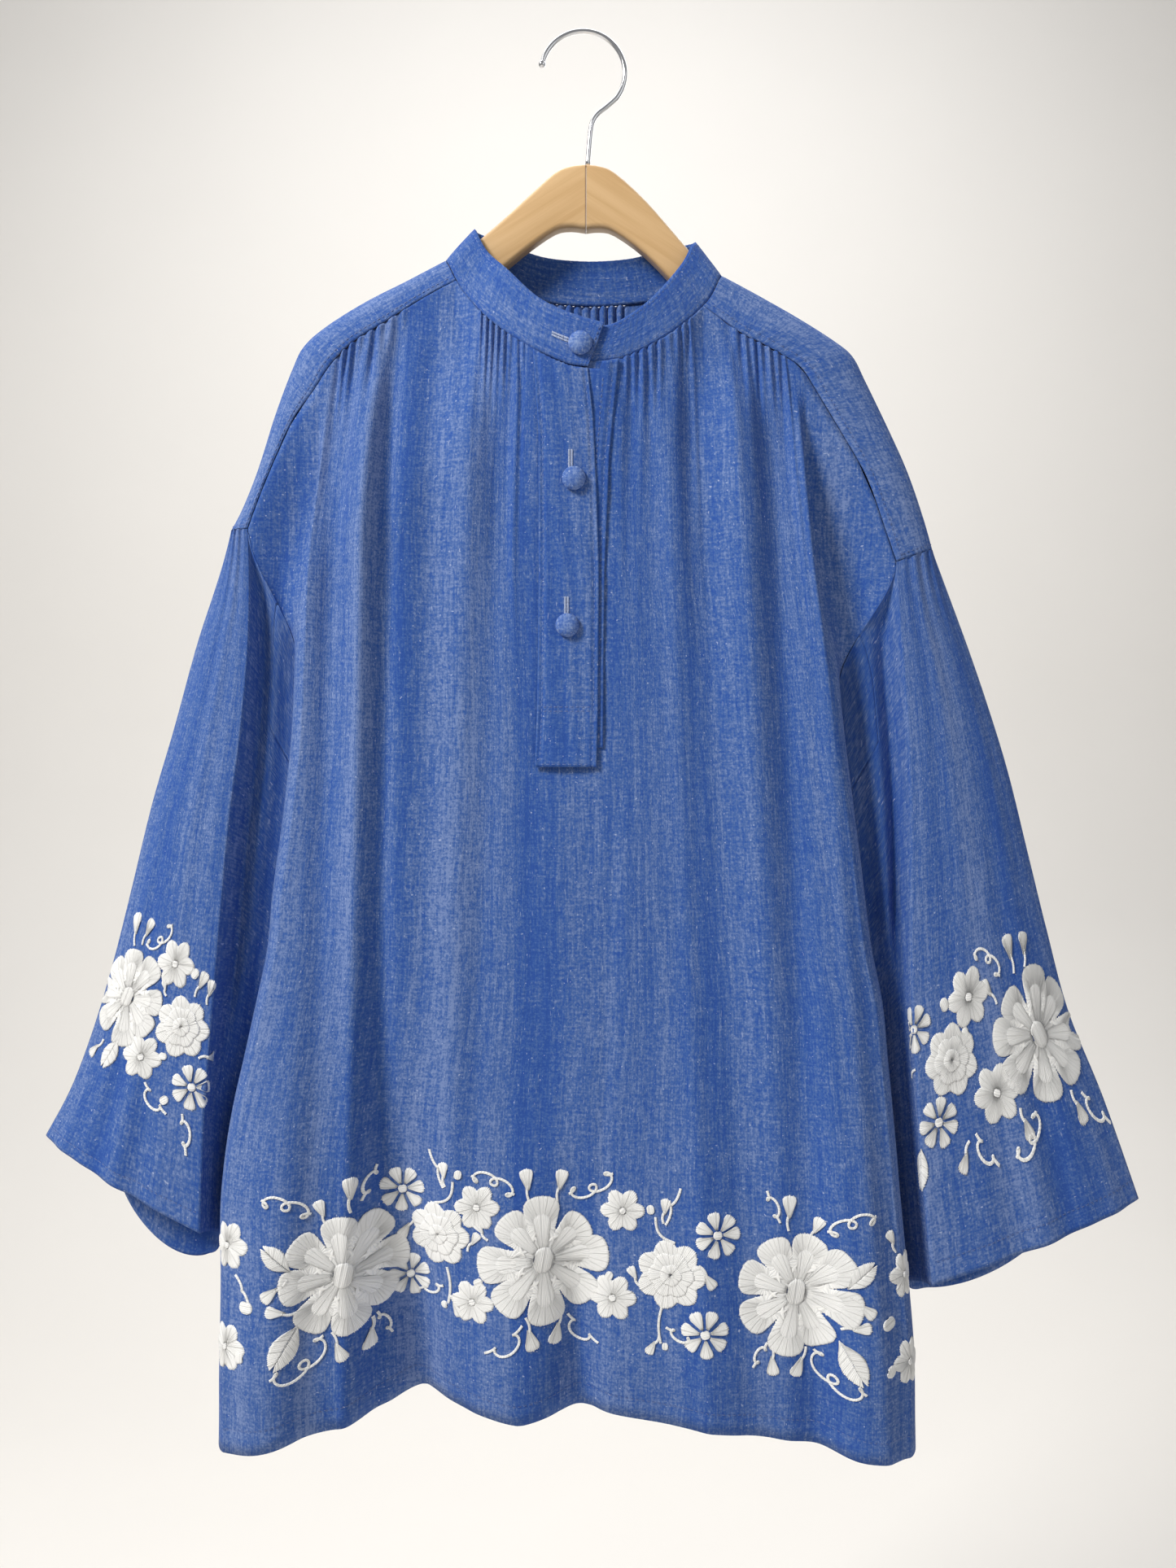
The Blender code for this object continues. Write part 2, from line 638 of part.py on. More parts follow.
def saddle_panel(side, material):
    """Shoulder panel: arched sections from the collar to the sleeve, closer together near the collar."""
    points, inward, rows = [], [], []
    for i in range(SADDLE_ROWS + 1):
        row = []
        s = (i / SADDLE_ROWS) ** SADDLE_EVEN
        ridge = saddle_ridge(side, s)
        for k in range(SADDLE_COLUMNS + 1):
            turn = 2.0 * k / SADDLE_COLUMNS - 1.0
            point, direction = saddle_point(side, s, turn)
            if abs(turn) == 1.0:
                back = Vector((ridge.x - point.x, 0.0, ridge.z - point.z)).normalized()
                point += back * SADDLE_GAP
            row.append(len(points))
            points.append(point)
            inward.append(direction)
        rows.append(row)
    faces = [face for upper, lower in zip(rows, rows[1:]) for face in strip(upper, lower)]
    return shell(f"saddle_{side.name}", points, inward, faces, CLOTH, material)


def armhole_point(side, step, back):
    """Point on the armhole edge of a body panel, on the panel's own rows, from the saddle down."""
    corner = saddle_seam(side, 1.0, back)
    depth = back_depth if back else front_depth
    z = panel_rows(corner.z, corner.z, side.under_z, True)[step]
    return side_point(side, 1.0, corner, z, depth, back)[0]


def armhole_inward(side, step, away):
    """Direction into the sleeve on its armhole seam; away is 1 at the front and -1 at the back."""
    angle = math.radians(90.0 * (step / SLEEVE_PLEAT_STEPS) ** 4)
    return Vector((side.sign * math.sin(angle), away * math.cos(angle), 0.0))


def sleeve_ring(side, t):
    """Points and inward directions round a sleeve at t, 0 at the saddle and 1 at the cuff."""
    row = Sleeve(*spline(side.sleeve, t * (len(side.sleeve) - 1)))
    outer = Vector((row.outer_x, SIDE_Y, row.outer_z))
    ridge = Vector((row.ridge_x, row.ridge_y, row.ridge_z))
    inner = Vector((row.inner_x, SLEEVE_INNER_Y, row.inner_z))
    wide = min(abs(row.ridge_x - row.inner_x) / STRIP_WIDTH, 1.0)
    strip_ridge = mix(SLEEVE_INNER_Y, side.strip_y, wide * wide)
    head = 1.0 - smooth(t / SLEEVE_HEAD_BLEND)
    out = Vector((side.sign * SEAM, 0.0, -SEAM * 0.5))
    end = Vector((side.sign * SEAM * 0.5, 0.0, -SEAM * 1.2))
    ring, shared = [], []
    for i in range(SLEEVE_FRONT_STEPS):
        q = i / SLEEVE_FRONT_STEPS
        angle = math.radians(90.0 * q)
        across = mix(q, 1.0 - math.cos(angle), 0.5)
        point = outer.lerp(ridge, across)
        point.y = mix(outer.y, ridge.y, math.sin(angle) ** 0.9)
        top, direction = saddle_point(side, 1.0, -q)
        shared.append(direction)
        point = point.lerp(top + end, head)
        ripple = SLEEVE_GATHER * math.sin(math.pi * q) * (1.0 if i % 2 else -1.0)
        point.y -= ripple * (1.0 - smooth(t / GATHER_END)) * smooth(t / GATHER_START)
        ring.append(point)
    for i in range(SLEEVE_PLEAT_STEPS):
        q = i / SLEEVE_PLEAT_STEPS
        point = ridge.lerp(inner, q ** PLEAT_EVEN)
        low = mix(SLEEVE_INNER_Y, strip_ridge, math.exp(-((q - STRIP_PLACE) / STRIP_SHARP) ** 2))
        pleated = mix(ridge.y, low, smooth(q / PLEAT_PLACE))
        point.y = mix(mix(ridge.y, SLEEVE_INNER_Y, q), pleated, wide * wide)
        top = armhole_point(side, i, False) + out
        top.y -= UNDERARM_SPREAD * (i / SLEEVE_PLEAT_STEPS) ** 3
        shared.append(armhole_inward(side, i, 1.0))
        ring.append(point.lerp(top, head))
    for i in range(SLEEVE_BACK_STEPS):
        q = i / SLEEVE_BACK_STEPS
        point = inner.lerp(outer, q)
        point.y = mix(SLEEVE_INNER_Y, SLEEVE_BACK_Y, smooth(min(q, 1.0 - q) / BACK_TURN))
        sag = math.sqrt(math.sin(math.pi * min(q / STRIP_PLACE, 1.0)))
        point.z -= side.drop * sag * smooth((t - SAG_START) / SAG_REACH)
        if i <= SLEEVE_PLEAT_STEPS:
            top = armhole_point(side, SLEEVE_PLEAT_STEPS - i, True) + out
            top.y += UNDERARM_SPREAD * (1.0 - i / SLEEVE_PLEAT_STEPS) ** 3 if i else 0.0
            shared.append(armhole_inward(side, SLEEVE_PLEAT_STEPS - i, -1.0))
        else:
            left_over = SLEEVE_BACK_STEPS - SLEEVE_PLEAT_STEPS
            top, direction = saddle_point(side, 1.0, 1.0 - (i - SLEEVE_PLEAT_STEPS) / left_over)
            shared.append(direction)
            top += end
        ring.append(point.lerp(top, head))
    return ring, ring_inward(ring, shared, side.sign, head)


def ring_inward(ring, shared, sign, head):
    """Directions into a closed ring, seen from above; at the head they are those of the pieces it joins."""
    result = []
    for i, point in enumerate(ring):
        before, after = ring[i - 1], ring[(i + 1) % len(ring)]
        one = Vector((point.y - before.y, before.x - point.x, 0.0)).normalized()
        two = Vector((after.y - point.y, point.x - after.x, 0.0)).normalized()
        direction = ((one + two) * sign).normalized()
        result.append(direction.lerp(shared[i], head).normalized())
    return result


def sleeve(side, material):
    """Sleeve tube and, under its arm, the gusset that is let into it."""
    points, inward, rows = [], [], []
    for r in range(SLEEVE_ROWS + 1):
        t = r / SLEEVE_ROWS
        ring, directions = sleeve_ring(side, t)
        rows.append(list(range(len(points), len(points) + len(ring))))
        points += ring
        inward += directions
    under = SLEEVE_FRONT_STEPS + SLEEVE_PLEAT_STEPS
    tube, gusset = [], []
    for r, (upper, lower) in enumerate(zip(rows, rows[1:])):
        for k, face in enumerate(strip(upper, lower, True)):
            inside = r < GUSSET_ROWS and under - GUSSET_COLUMNS <= k < under + GUSSET_COLUMNS
            (gusset if inside else tube).append(face)
    shell(f"sleeve_{side.name}", points, inward, tube, CLOTH, material)
    shell(f"gusset_{side.name}", drawn_in(points, gusset), inward, gusset, CLOTH, material)


def drawn_in(points, faces):
    """The points with those on the faces' open edge moved along the cloth, away from their seam."""
    uses = Counter(frozenset(pair) for face in faces for pair in zip(face, face[1:] + face[:1]))
    edge = {i for pair, count in uses.items() if count == 1 for i in pair}
    moved = list(points)
    for i in edge:
        near = [points[k] for face in faces if i in face for k in face if k != i]
        inside = sum(near, Vector()) / len(near)
        moved[i] = points[i] + (inside - points[i]).normalized() * SADDLE_GAP
    return moved


def collar_band(material):
    """Standing band: rows from its lower seam to its free upper edge."""
    points, inward, rows = [], [], []
    for h in range(COLLAR_ROWS):
        row = []
        for i in range(COLLAR_STEPS + 1):
            place = i / COLLAR_STEPS * (len(COLLAR) - 1)
            neck = Neck(*spline(COLLAR, place))
            low = Vector((neck.x, neck.y, neck.z))
            high = Vector((neck.top_x, neck.top_y, neck.top_z))
            before, after = collar_low(place - COLLAR_NEAR), collar_low(place + COLLAR_NEAR)
            along = Vector((after.x - before.x, after.y - before.y, 0.0)).normalized()
            row.append(len(points))
            points.append(low.lerp(high, h / (COLLAR_ROWS - 1)))
            inward.append(Vector((along.y, -along.x, 0.0)))
        rows.append(row)
    faces = [face for upper, lower in zip(rows, rows[1:]) for face in strip(upper, lower)]
    return shell("collar_band", points, inward, faces, BAND, material)


def placket_strip(name, left, right, low_z, lift, thickness, material):
    """Strip that lies on the front panel: the panel's own places, moved out by lift."""
    points, inward, rows = [], [], []
    for r in range(PLACKET_ROWS + 1):
        row = []
        for k in range(PLACKET_COLUMNS + 1):
            q = k / PLACKET_COLUMNS
            x = mix(left(PLACKET_TOP), right(PLACKET_TOP), q)
            start = min(front_top(x)[0] - 1.0, neck_clear(x))
            z = mix(start, low_z, r / PLACKET_ROWS)
            x = mix(left(z), right(z), q)
            row.append(len(points))
            points.append(Vector((x, front_depth(x, z) - lift, z)))
            inward.append(Vector((0.0, 1.0, 0.0)))
        rows.append(row)
    faces = [face for upper, lower in zip(rows, rows[1:]) for face in strip(upper, lower)]
    return shell(name, points, inward, faces, thickness, material)


def neck_clear(x):
    """Height just under the collar's buttoned end at x."""
    ends = [collar_low(i / 8.0) for i in range(25)]
    near = min(ends, key=lambda p: abs(p.x - x))
    return near.z - COLLAR_CLEAR if x < COLLAR_END_X else 0.0


def button(name, x, z, surface, material):
    """Cloth-covered dome, turned about its own axis and facing the viewer."""
    profile = [(0.0, 0.0), (BUTTON_RADIUS - 1.0, 0.0), (BUTTON_RADIUS, -BUTTON_EDGE)]
    for i in range(1, 5):
        angle = math.radians(90.0 * i / 4)
        profile.append((BUTTON_RADIUS * math.cos(angle), -BUTTON_EDGE - BUTTON_DOME * math.sin(angle)))
    mesh = bmesh.new()
    centre = Vector((x, surface, z))
    corners = [mesh.verts.new((centre + Vector((r, d, 0.0))) * MM) for r, d in profile]
    edges = [mesh.edges.new(pair) for pair in zip(corners, corners[1:])]
    bmesh.ops.spin(mesh, geom=corners + edges, cent=centre * MM, axis=(0.0, 1.0, 0.0),
                   angle=math.tau, steps=BUTTON_SEGMENTS, use_merge=True)
    bmesh.ops.remove_doubles(mesh, verts=mesh.verts[:], dist=1e-6)
    return finish(name, mesh, material, 60.0)


def button_seat(x, z, lift):
    """Front-most depth of what a button lies on."""
    reach = (-BUTTON_RADIUS, 0.0, BUTTON_RADIUS)
    return min(front_depth(x + dx, z + dz) for dx in reach for dz in reach) - lift - BUTTON_SEAT


def hanger_half(side, arms, material):
    """Half of the hanger: chamfered sections from the joint to the tip."""
    mesh = bmesh.new()
    rings = []
    for i, arm in enumerate(arms):
        cut = min(WOOD_CHAMFER, arm.height * 0.3)
        half = WOOD_THICK / 2.0 if i < len(arms) - 1 else WOOD_THICK / 4.0
        low = arm.top - arm.height
        outline = (
            (-half + cut, arm.top), (half - cut, arm.top), (half, arm.top - cut), (half, low + cut),
            (half - cut, low), (-half + cut, low), (-half, low + cut), (-half, arm.top - cut),
        )
        rings.append([mesh.verts.new(Vector((arm.x, y, z)) * MM) for y, z in outline])
    for one, two in zip(rings, rings[1:]):
        for k in range(8):
            mesh.faces.new((one[k], one[(k + 1) % 8], two[(k + 1) % 8], two[k]))
    mesh.faces.new(rings[0])
    mesh.faces.new(rings[-1])
    return finish(f"hanger_{side.name}", mesh, material, 40.0)


def hook_path():
    """Centre line of the wire from its tip over the crown to the stem."""
    path = []
    for i in range(27):
        angle = math.radians(mix(168.0, -38.0, i / 26))
        path.append(Vector((HOOK_CENTRE[0] + HOOK_RADIUS * math.cos(angle), 0.0,
                            HOOK_CENTRE[1] + HOOK_RADIUS * math.sin(angle))))
    path += [Vector((14.6, 0.0, -53.6)), Vector((8.6, 0.0, -58.2)), Vector((5.0, 0.0, -63.5))]
    path += [Vector((3.4, 0.0, -70.0)), Vector((2.2, 0.0, -82.0)), Vector((1.1, 0.0, STEM_END_Z))]
    return path


def hook(material):
    path = hook_path()
    curve = bpy.data.curves.new("hook", "CURVE")
    curve.dimensions = "3D"
    curve.bevel_depth = HOOK_WIRE * MM
    curve.bevel_resolution = 2
    curve.use_fill_caps = True
    line = curve.splines.new("POLY")
    line.points.add(len(path) - 1)
    for point, place in zip(line.points, path):
        point.co = (*(place * MM), 1.0)
    for point, ratio in zip(line.points, TIP_RADII):
        point.radius = ratio
    curve.materials.append(material)
    piece = bpy.data.objects.new("hook", curve)
    bpy.context.scene.collection.objects.link(piece)
    return piece


def top_table(columns):
    """Upper edge of a panel as rows of x, depth and height."""
    return [(c.top.x, c.top.y, c.top.z) for c in columns]


for old in list(bpy.data.objects):
    bpy.data.objects.remove(old, do_unlink=True)

cloth = make_material("chambray", (0.075, 0.14, 0.44), 0.85)
wood = make_material("varnished_wood", (0.58, 0.36, 0.18), 0.4)
chrome = make_material("chrome", (0.8, 0.8, 0.8), 0.15, 1.0)

front = front_columns()
back = back_columns()
FRONT_TOP = top_table(front)
BACK_TOP = top_table(back)

body_panel("front_body", front, front_depth, HEM_FRONT, False, cloth)
body_panel("back_body", back, back_depth, HEM_BACK, True, cloth)
for one_side in (LEFT, RIGHT):
    saddle_panel(one_side, cloth)
    sleeve(one_side, cloth)
collar_band(cloth)
under_lift = 2.0 * SEAM + UNDER_PLACKET
over_lift = under_lift + SEAM + PLACKET
placket_strip("placket_under", lambda z: UNDER_LEFT_X, lambda z: lookup(UNDER_RIGHT, z), UNDER_LOW,
              under_lift, UNDER_PLACKET, cloth)
placket_strip("placket_over", lambda z: lookup(PLACKET_LEFT, z), lambda z: lookup(PLACKET_RIGHT, z),
              PLACKET_LOW, over_lift, PLACKET, cloth)
for number, (button_x, button_z) in enumerate(BUTTONS, 1):
    seat = button_seat(button_x, button_z, over_lift) if number > 1 else COLLAR_SEAT_Y
    button(f"button_{number}", button_x, button_z, seat, cloth)
hanger_half(LEFT, ARM_LEFT, wood)
hanger_half(RIGHT, ARM_RIGHT, wood)
hook(chrome)
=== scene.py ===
"""Dresses the tunic on its hanger: fine cloth, sewing, embroidery, varnished wood and bright wire."""
from dataclasses import dataclass, field
from enum import Enum
import logging
import math
from typing import Callable, NamedTuple, Sequence

import bmesh
import bpy
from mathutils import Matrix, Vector


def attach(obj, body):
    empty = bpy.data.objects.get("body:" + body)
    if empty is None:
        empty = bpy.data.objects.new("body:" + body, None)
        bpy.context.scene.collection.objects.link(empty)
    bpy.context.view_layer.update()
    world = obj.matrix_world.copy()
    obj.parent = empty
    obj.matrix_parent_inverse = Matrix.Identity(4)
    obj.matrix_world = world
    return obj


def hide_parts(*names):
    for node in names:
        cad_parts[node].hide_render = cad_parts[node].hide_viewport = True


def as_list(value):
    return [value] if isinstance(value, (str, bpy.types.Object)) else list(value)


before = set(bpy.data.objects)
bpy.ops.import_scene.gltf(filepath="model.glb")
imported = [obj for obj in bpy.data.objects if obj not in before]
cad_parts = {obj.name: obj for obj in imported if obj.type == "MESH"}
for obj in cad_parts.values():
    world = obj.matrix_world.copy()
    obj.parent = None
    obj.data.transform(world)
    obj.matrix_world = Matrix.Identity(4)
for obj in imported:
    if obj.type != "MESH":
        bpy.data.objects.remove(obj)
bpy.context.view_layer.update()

LOG = logging.getLogger("tunic")
MM = 0.001

# Place of each piece along the bolt, in metres, so far apart that no two share a stretch of the pattern
BOLT = {"front_body": 0.0, "back_body": 3.0, "saddle": 6.0, "sleeve": 9.0, "collar_band": 12.0,
        "placket_over": 14.0, "placket_under": 15.0, "button": 20.0}

Trims = dict[str, list[bpy.types.Object]]


def rows_of(kind: Callable[..., tuple], *values: tuple) -> tuple:
    """Rows of a table from plain values."""
    return tuple(kind(*value) for value in values)


class Neck(NamedTuple):
    """Lower and upper edge of the collar at one place round the neck."""

    x: float
    y: float
    z: float
    top_x: float
    top_y: float
    top_z: float


class Shoulder(NamedTuple):
    """Shoulder line and seam of a saddle at one place."""

    ridge_x: float
    ridge_z: float
    seam_x: float
    seam_z: float


class Edge(NamedTuple):
    """Outline of the body at one height."""

    z: float
    left: float
    right: float


class Hem(NamedTuple):
    """Height of the hem at one place."""

    x: float
    z: float


class Fold(NamedTuple):
    """A soft fold from its upper to its lower end; negative depths come forward."""

    x_top: float
    z_top: float
    x_low: float
    z_low: float
    width: float
    depth_top: float
    depth_low: float


class Sleeve(NamedTuple):
    """Outer edge, front fold and inner edge of a sleeve at one section."""

    outer_x: float
    outer_z: float
    ridge_x: float
    ridge_y: float
    ridge_z: float
    inner_x: float
    inner_z: float


class Arm(NamedTuple):
    """Section of a hanger arm: its place, upper edge and height."""

    x: float
    top: float
    height: float


# Lower and upper edge of the collar band, from its buttoned end round the left, back and right
COLLAR = rows_of(Neck,
    (1.5, -41.5, -255, 12.5, -39.5, -224), (-14, -41, -252.5, -12, -39, -216.5),
    (-40, -37.5, -239.5, -34, -34.5, -204), (-66, -29, -220, -55, -26, -182), (-87, -16, -194.5, -70, -15, -165),
    (-98.8, -9.5, -172, -78.5, -9.5, -149), (-102, -1, -166.2, -81, -1, -142.5),
    (-97, 9.5, -167.5, -77.5, 8.5, -142.5), (-62, 16.5, -180, -52, 13.5, -150.5),
    (-31, 18.5, -188.4, -29.5, 15.5, -157), (0, 19, -191.6, 0, 16, -159.5), (31, 18.5, -190.5, 28, 15.5, -158.3),
    (60, 16.5, -187, 50, 13.5, -154.5), (94.5, 9.5, -178, 75.5, 8.5, -150), (98.5, 0, -177.3, 79.7, 0, -151.5),
    (96, -9.8, -181.8, 76, -9.8, -158), (86, -16, -201, 68, -16, -174), (63, -28, -225, 52, -26, -196),
    (31, -35, -245, 36, -32, -212), (7, -38, -250.5, 15, -36, -224.5), (-14, -38.2, -249, -4, -36.5, -220))

# Shoulder line and seam of each saddle, from the collar to the sleeve
SADDLE_LEFT = rows_of(Shoulder,
    (-102, -166.5, -92, -190), (-130, -181, -120, -203.5), (-160, -196, -146, -217.5), (-188, -213.5, -166, -230),
    (-204.5, -228, -182, -246), (-213, -245, -195, -266), (-225, -277.5, -209, -286), (-237.5, -318, -225, -321),
    (-248.5, -346, -235, -346), (-257, -362, -241, -363))
SADDLE_RIGHT = rows_of(Shoulder,
    (98.5, -178, 84, -204), (127, -192.7, 109, -222.4), (154, -207.5, 125, -231), (180, -224, 142, -240.4),
    (193.5, -235.5, 153.7, -249), (203, -254, 164, -265), (219.8, -289, 182, -295), (233.5, -320, 200, -326.8),
    (244.5, -352, 213.4, -364.5), (251, -375, 221, -386.5))

# Outline of the body from the front
EDGES = rows_of(Edge,
    (-190, -188, 156), (-268, -195, 162.5), (-335, -202, 167), (-393, -207, 172), (-454, -209.5, 180),
    (-510, -212, 186), (-570, -218, 193.5), (-624, -225, 200), (-660, -228, 204.5), (-701, -236, 212.5),
    (-736, -243.5, 215.7), (-772, -251.5, 219), (-807, -257, 222), (-843, -260, 225), (-890, -259, 229.5),
    (-940, -259.5, 233.5), (-1014, -261, 235))
HEM_FRONT = rows_of(Hem,
    (-262, -1006), (-206, -994), (-150, -987), (-122, -979), (-83, -986), (-48, -990), (-5, -984), (40, -989),
    (106, -996), (157, -1002), (195, -1008), (236, -1011))
HEM_BACK = rows_of(Hem,
    (-262, -1006), (-150, -984), (0, -976), (150, -988), (236, -1011))

# Folds of the front: negative depths come forward
FOLDS_FRONT = rows_of(Fold,
    (-205, -560, -216, -985, 42, 0, -26), (-150, -600, -122, -960, 31, 0, 27), (-60, -760, -50, -980, 27, 0, -9),
    (-8, -780, -5, -980, 16, 0, 9), (70, -640, 92, -980, 42, 0, -10), (158, -540, 194, -985, 34, 0, -22),
    (-150, -250, -160, -760, 17, -6, -3), (-176, -280, -186, -700, 12, 5, 2), (-108, -230, -112, -560, 13, 3, 1),
    (-80, -250, -88, -520, 11, -3, -1), (-58, -270, -66, -480, 8, 2.5, 0.5), (56, -270, 66, -520, 9, -2.5, -1),
    (78, -260, 92, -560, 11, 3, 1), (106, -250, 122, -600, 14, -5, -3), (132, -270, 148, -640, 12, 4, 2),
    (-139, -240, -147, -800, 8, 3.4, 3), (-156, -240, -164, -800, 7, -2.4, -2),
    (153, -275, 180, -640, 8, -2.6, -1.4), (30, -255, 24, -430, 6, 1.8, 0.4))
FOLDS_BACK = rows_of(Fold,
    (-150, -620, -170, -980, 38, 0, 12), (-70, -560, -84, -980, 34, 0, -9), (10, -260, 6, -980, 30, 3, 9),
    (82, -600, 96, -980, 32, 0, -8), (150, -620, 172, -980, 36, 0, 12))

# Outer edge, front fold and inner edge of each sleeve, from the saddle to the cuff
SLEEVE_LEFT = rows_of(Sleeve,
    (-257.5, -362.5, -241.5, -17, -364, -210, -457), (-266, -394, -240, -19, -405, -214, -482),
    (-282, -443, -241, -21, -455, -216.5, -515), (-299, -505, -245.5, -23, -510, -220, -555),
    (-315, -560, -252, -25, -565, -225.5, -602), (-330, -622, -257.5, -27, -628, -231, -655),
    (-342, -670, -262, -28, -685, -240.5, -705), (-356, -718, -265.5, -29, -735, -251, -755),
    (-373, -764, -269, -30, -790, -260.5, -805), (-392, -800, -271, -31, -861, -265.5, -870))
SLEEVE_RIGHT = rows_of(Sleeve,
    (251.5, -375.5, 221.5, -17, -387.5, 181, -480), (262, -405, 223.5, -19, -425, 187, -503),
    (277, -446, 226, -21, -465, 191, -535), (291, -487, 228.5, -23, -510, 196, -575),
    (306, -536, 229.5, -25, -565, 202, -625), (321, -597, 229, -27, -625, 207.5, -665),
    (334, -650, 229, -28, -690, 216, -715), (350, -710, 232, -29, -750, 220.5, -765),
    (375, -772, 236, -30, -815, 225.8, -825), (401, -846, 243, -31, -898, 234, -905))

# Hanger arms: x, upper edge and height of the wood, from the joint to the tip
ARM_LEFT = rows_of(Arm,
    (-0.2, -97, 47), (-11, -98.2, 44.5), (-22.5, -103, 42), (-41, -119.5, 38), (-59, -136, 36), (-80, -154, 33),
    (-102, -171.2, 30), (-130, -184, 27), (-160, -199.3, 25), (-186, -216.2, 20), (-192, -222.5, 10))
ARM_RIGHT = rows_of(Arm,
    (0.2, -97, 47), (10, -98.2, 45), (21, -103, 43), (43, -123, 39), (67, -150.5, 36), (82, -167.5, 33),
    (98.5, -183.3, 30), (127, -197.6, 27), (154, -212.6, 25), (178, -228.2, 20), (184, -233.5, 10))

# Edges of the plackets: height and x
PLACKET_LEFT = ((-244.0, -36.9), (-300.0, -33.0), (-400.0, -33.0), (-492.0, -34.0), (-534.0, -35.7))
PLACKET_RIGHT = ((-255.0, 1.3), (-290.0, 5.0), (-340.0, 7.4), (-396.0, 9.1), (-492.0, 8.5), (-534.0, 7.4))
UNDER_RIGHT = ((-240.0, 24.0), (-271.0, 21.0), (-316.0, 16.5), (-362.0, 14.5), (-396.0, 13.0), (-520.0, 12.0))

# Rows of stitching: share of the collar's height, and share of a placket's width from its edge
COLLAR_ROWS = (0.10, 0.90)
PLACKET_ROW = 0.075


def mix(a: float, b: float, t: float) -> float:
    """Straight blend from a to b."""
    return a + (b - a) * t


def smooth(t: float) -> float:
    """Eased step from 0 to 1."""
    t = min(max(t, 0.0), 1.0)
    return t * t * (3.0 - 2.0 * t)


def spline(rows: Sequence[Sequence[float]], place: float) -> list[float]:
    """Smooth curve through a table's rows.

    Args:
        rows: the table.
        place: row number, counted from 0, with any fraction.

    Returns:
        The blended row.
    """
    place = min(max(place, 0.0), len(rows) - 1.0)
    i = min(int(place), len(rows) - 2)
    f = place - i
    a, b, c, d = (rows[min(max(k, 0), len(rows) - 1)] for k in (i - 1, i, i + 1, i + 2))
    return [
        0.5 * (2 * q + (r - p) * f + (2 * p - 5 * q + 4 * r - s) * f * f + (3 * q - p - 3 * r + s) * f ** 3)
        for p, q, r, s in zip(a, b, c, d)
    ]


def finer(rows: Sequence[Sequence[float]]) -> list[list[float]]:
    """Three rows of a smooth curve for each row of its table."""
    return [spline(rows, i / 3.0) for i in range(3 * (len(rows) - 1) + 1)]


def lookup(rows: Sequence[Sequence[float]], key: float, value: int = 1) -> float:
    """Straight-line reading of a table.

    Args:
        rows: table whose first column runs one way.
        key: value of the first column.
        value: number of the column to read.

    Returns:
        The blended entry.
    """
    way = 1.0 if rows[-1][0] > rows[0][0] else -1.0
    for low, high in zip(rows, rows[1:]):
        if way * key <= way * high[0] or high is rows[-1]:
            t = min(max((key - low[0]) / (high[0] - low[0]), 0.0), 1.0)
            return mix(low[value], high[value], t)
    return rows[-1][value]


def chance(seed: float) -> float:
    """A repeatable number from 0 to 1 for each seed."""
    wave = math.sin(seed * 12.9898 + 4.1414) * 43758.5453
    return wave - math.floor(wave)


@dataclass(frozen=True)
class Side:
    """One side of the garment.

    Args:
        name: side as seen from the front.
        sign: direction of x towards this side.
        under_z: height of the underarm.
        saddle: rows of the saddle.
        neck_front: place on the collar of the saddle's front seam.
        neck_back: place on the collar of its back seam.
        strip_y: depth of the sleeve's second fold.
        drop: how far the sleeve's back layer hangs below its front layer.
        sleeve: rows of the sleeve.
        first_ridge: share of the saddle's seam at which the side fold begins.
    """

    name: str
    sign: float
    under_z: float
    saddle: tuple[Shoulder, ...]
    neck_front: float
    neck_back: float
    strip_y: float
    drop: float
    sleeve: tuple[Sleeve, ...]
    first_ridge: float


LEFT = Side("left", -1.0, -457.0, SADDLE_LEFT, 4.4, 7.3, -6.0, 38.0, SLEEVE_LEFT, 0.44)
RIGHT = Side("right", 1.0, -480.0, SADDLE_RIGHT, 16.15, 12.75, -12.0, 22.0, SLEEVE_RIGHT, 0.39)


@dataclass(frozen=True)
class Column:
    """A line down a body panel: its top, gather, cloth for each width of top, and place on a side fold."""

    top: Vector
    gather: float
    cloth: float
    side: Side | None
    turn: float


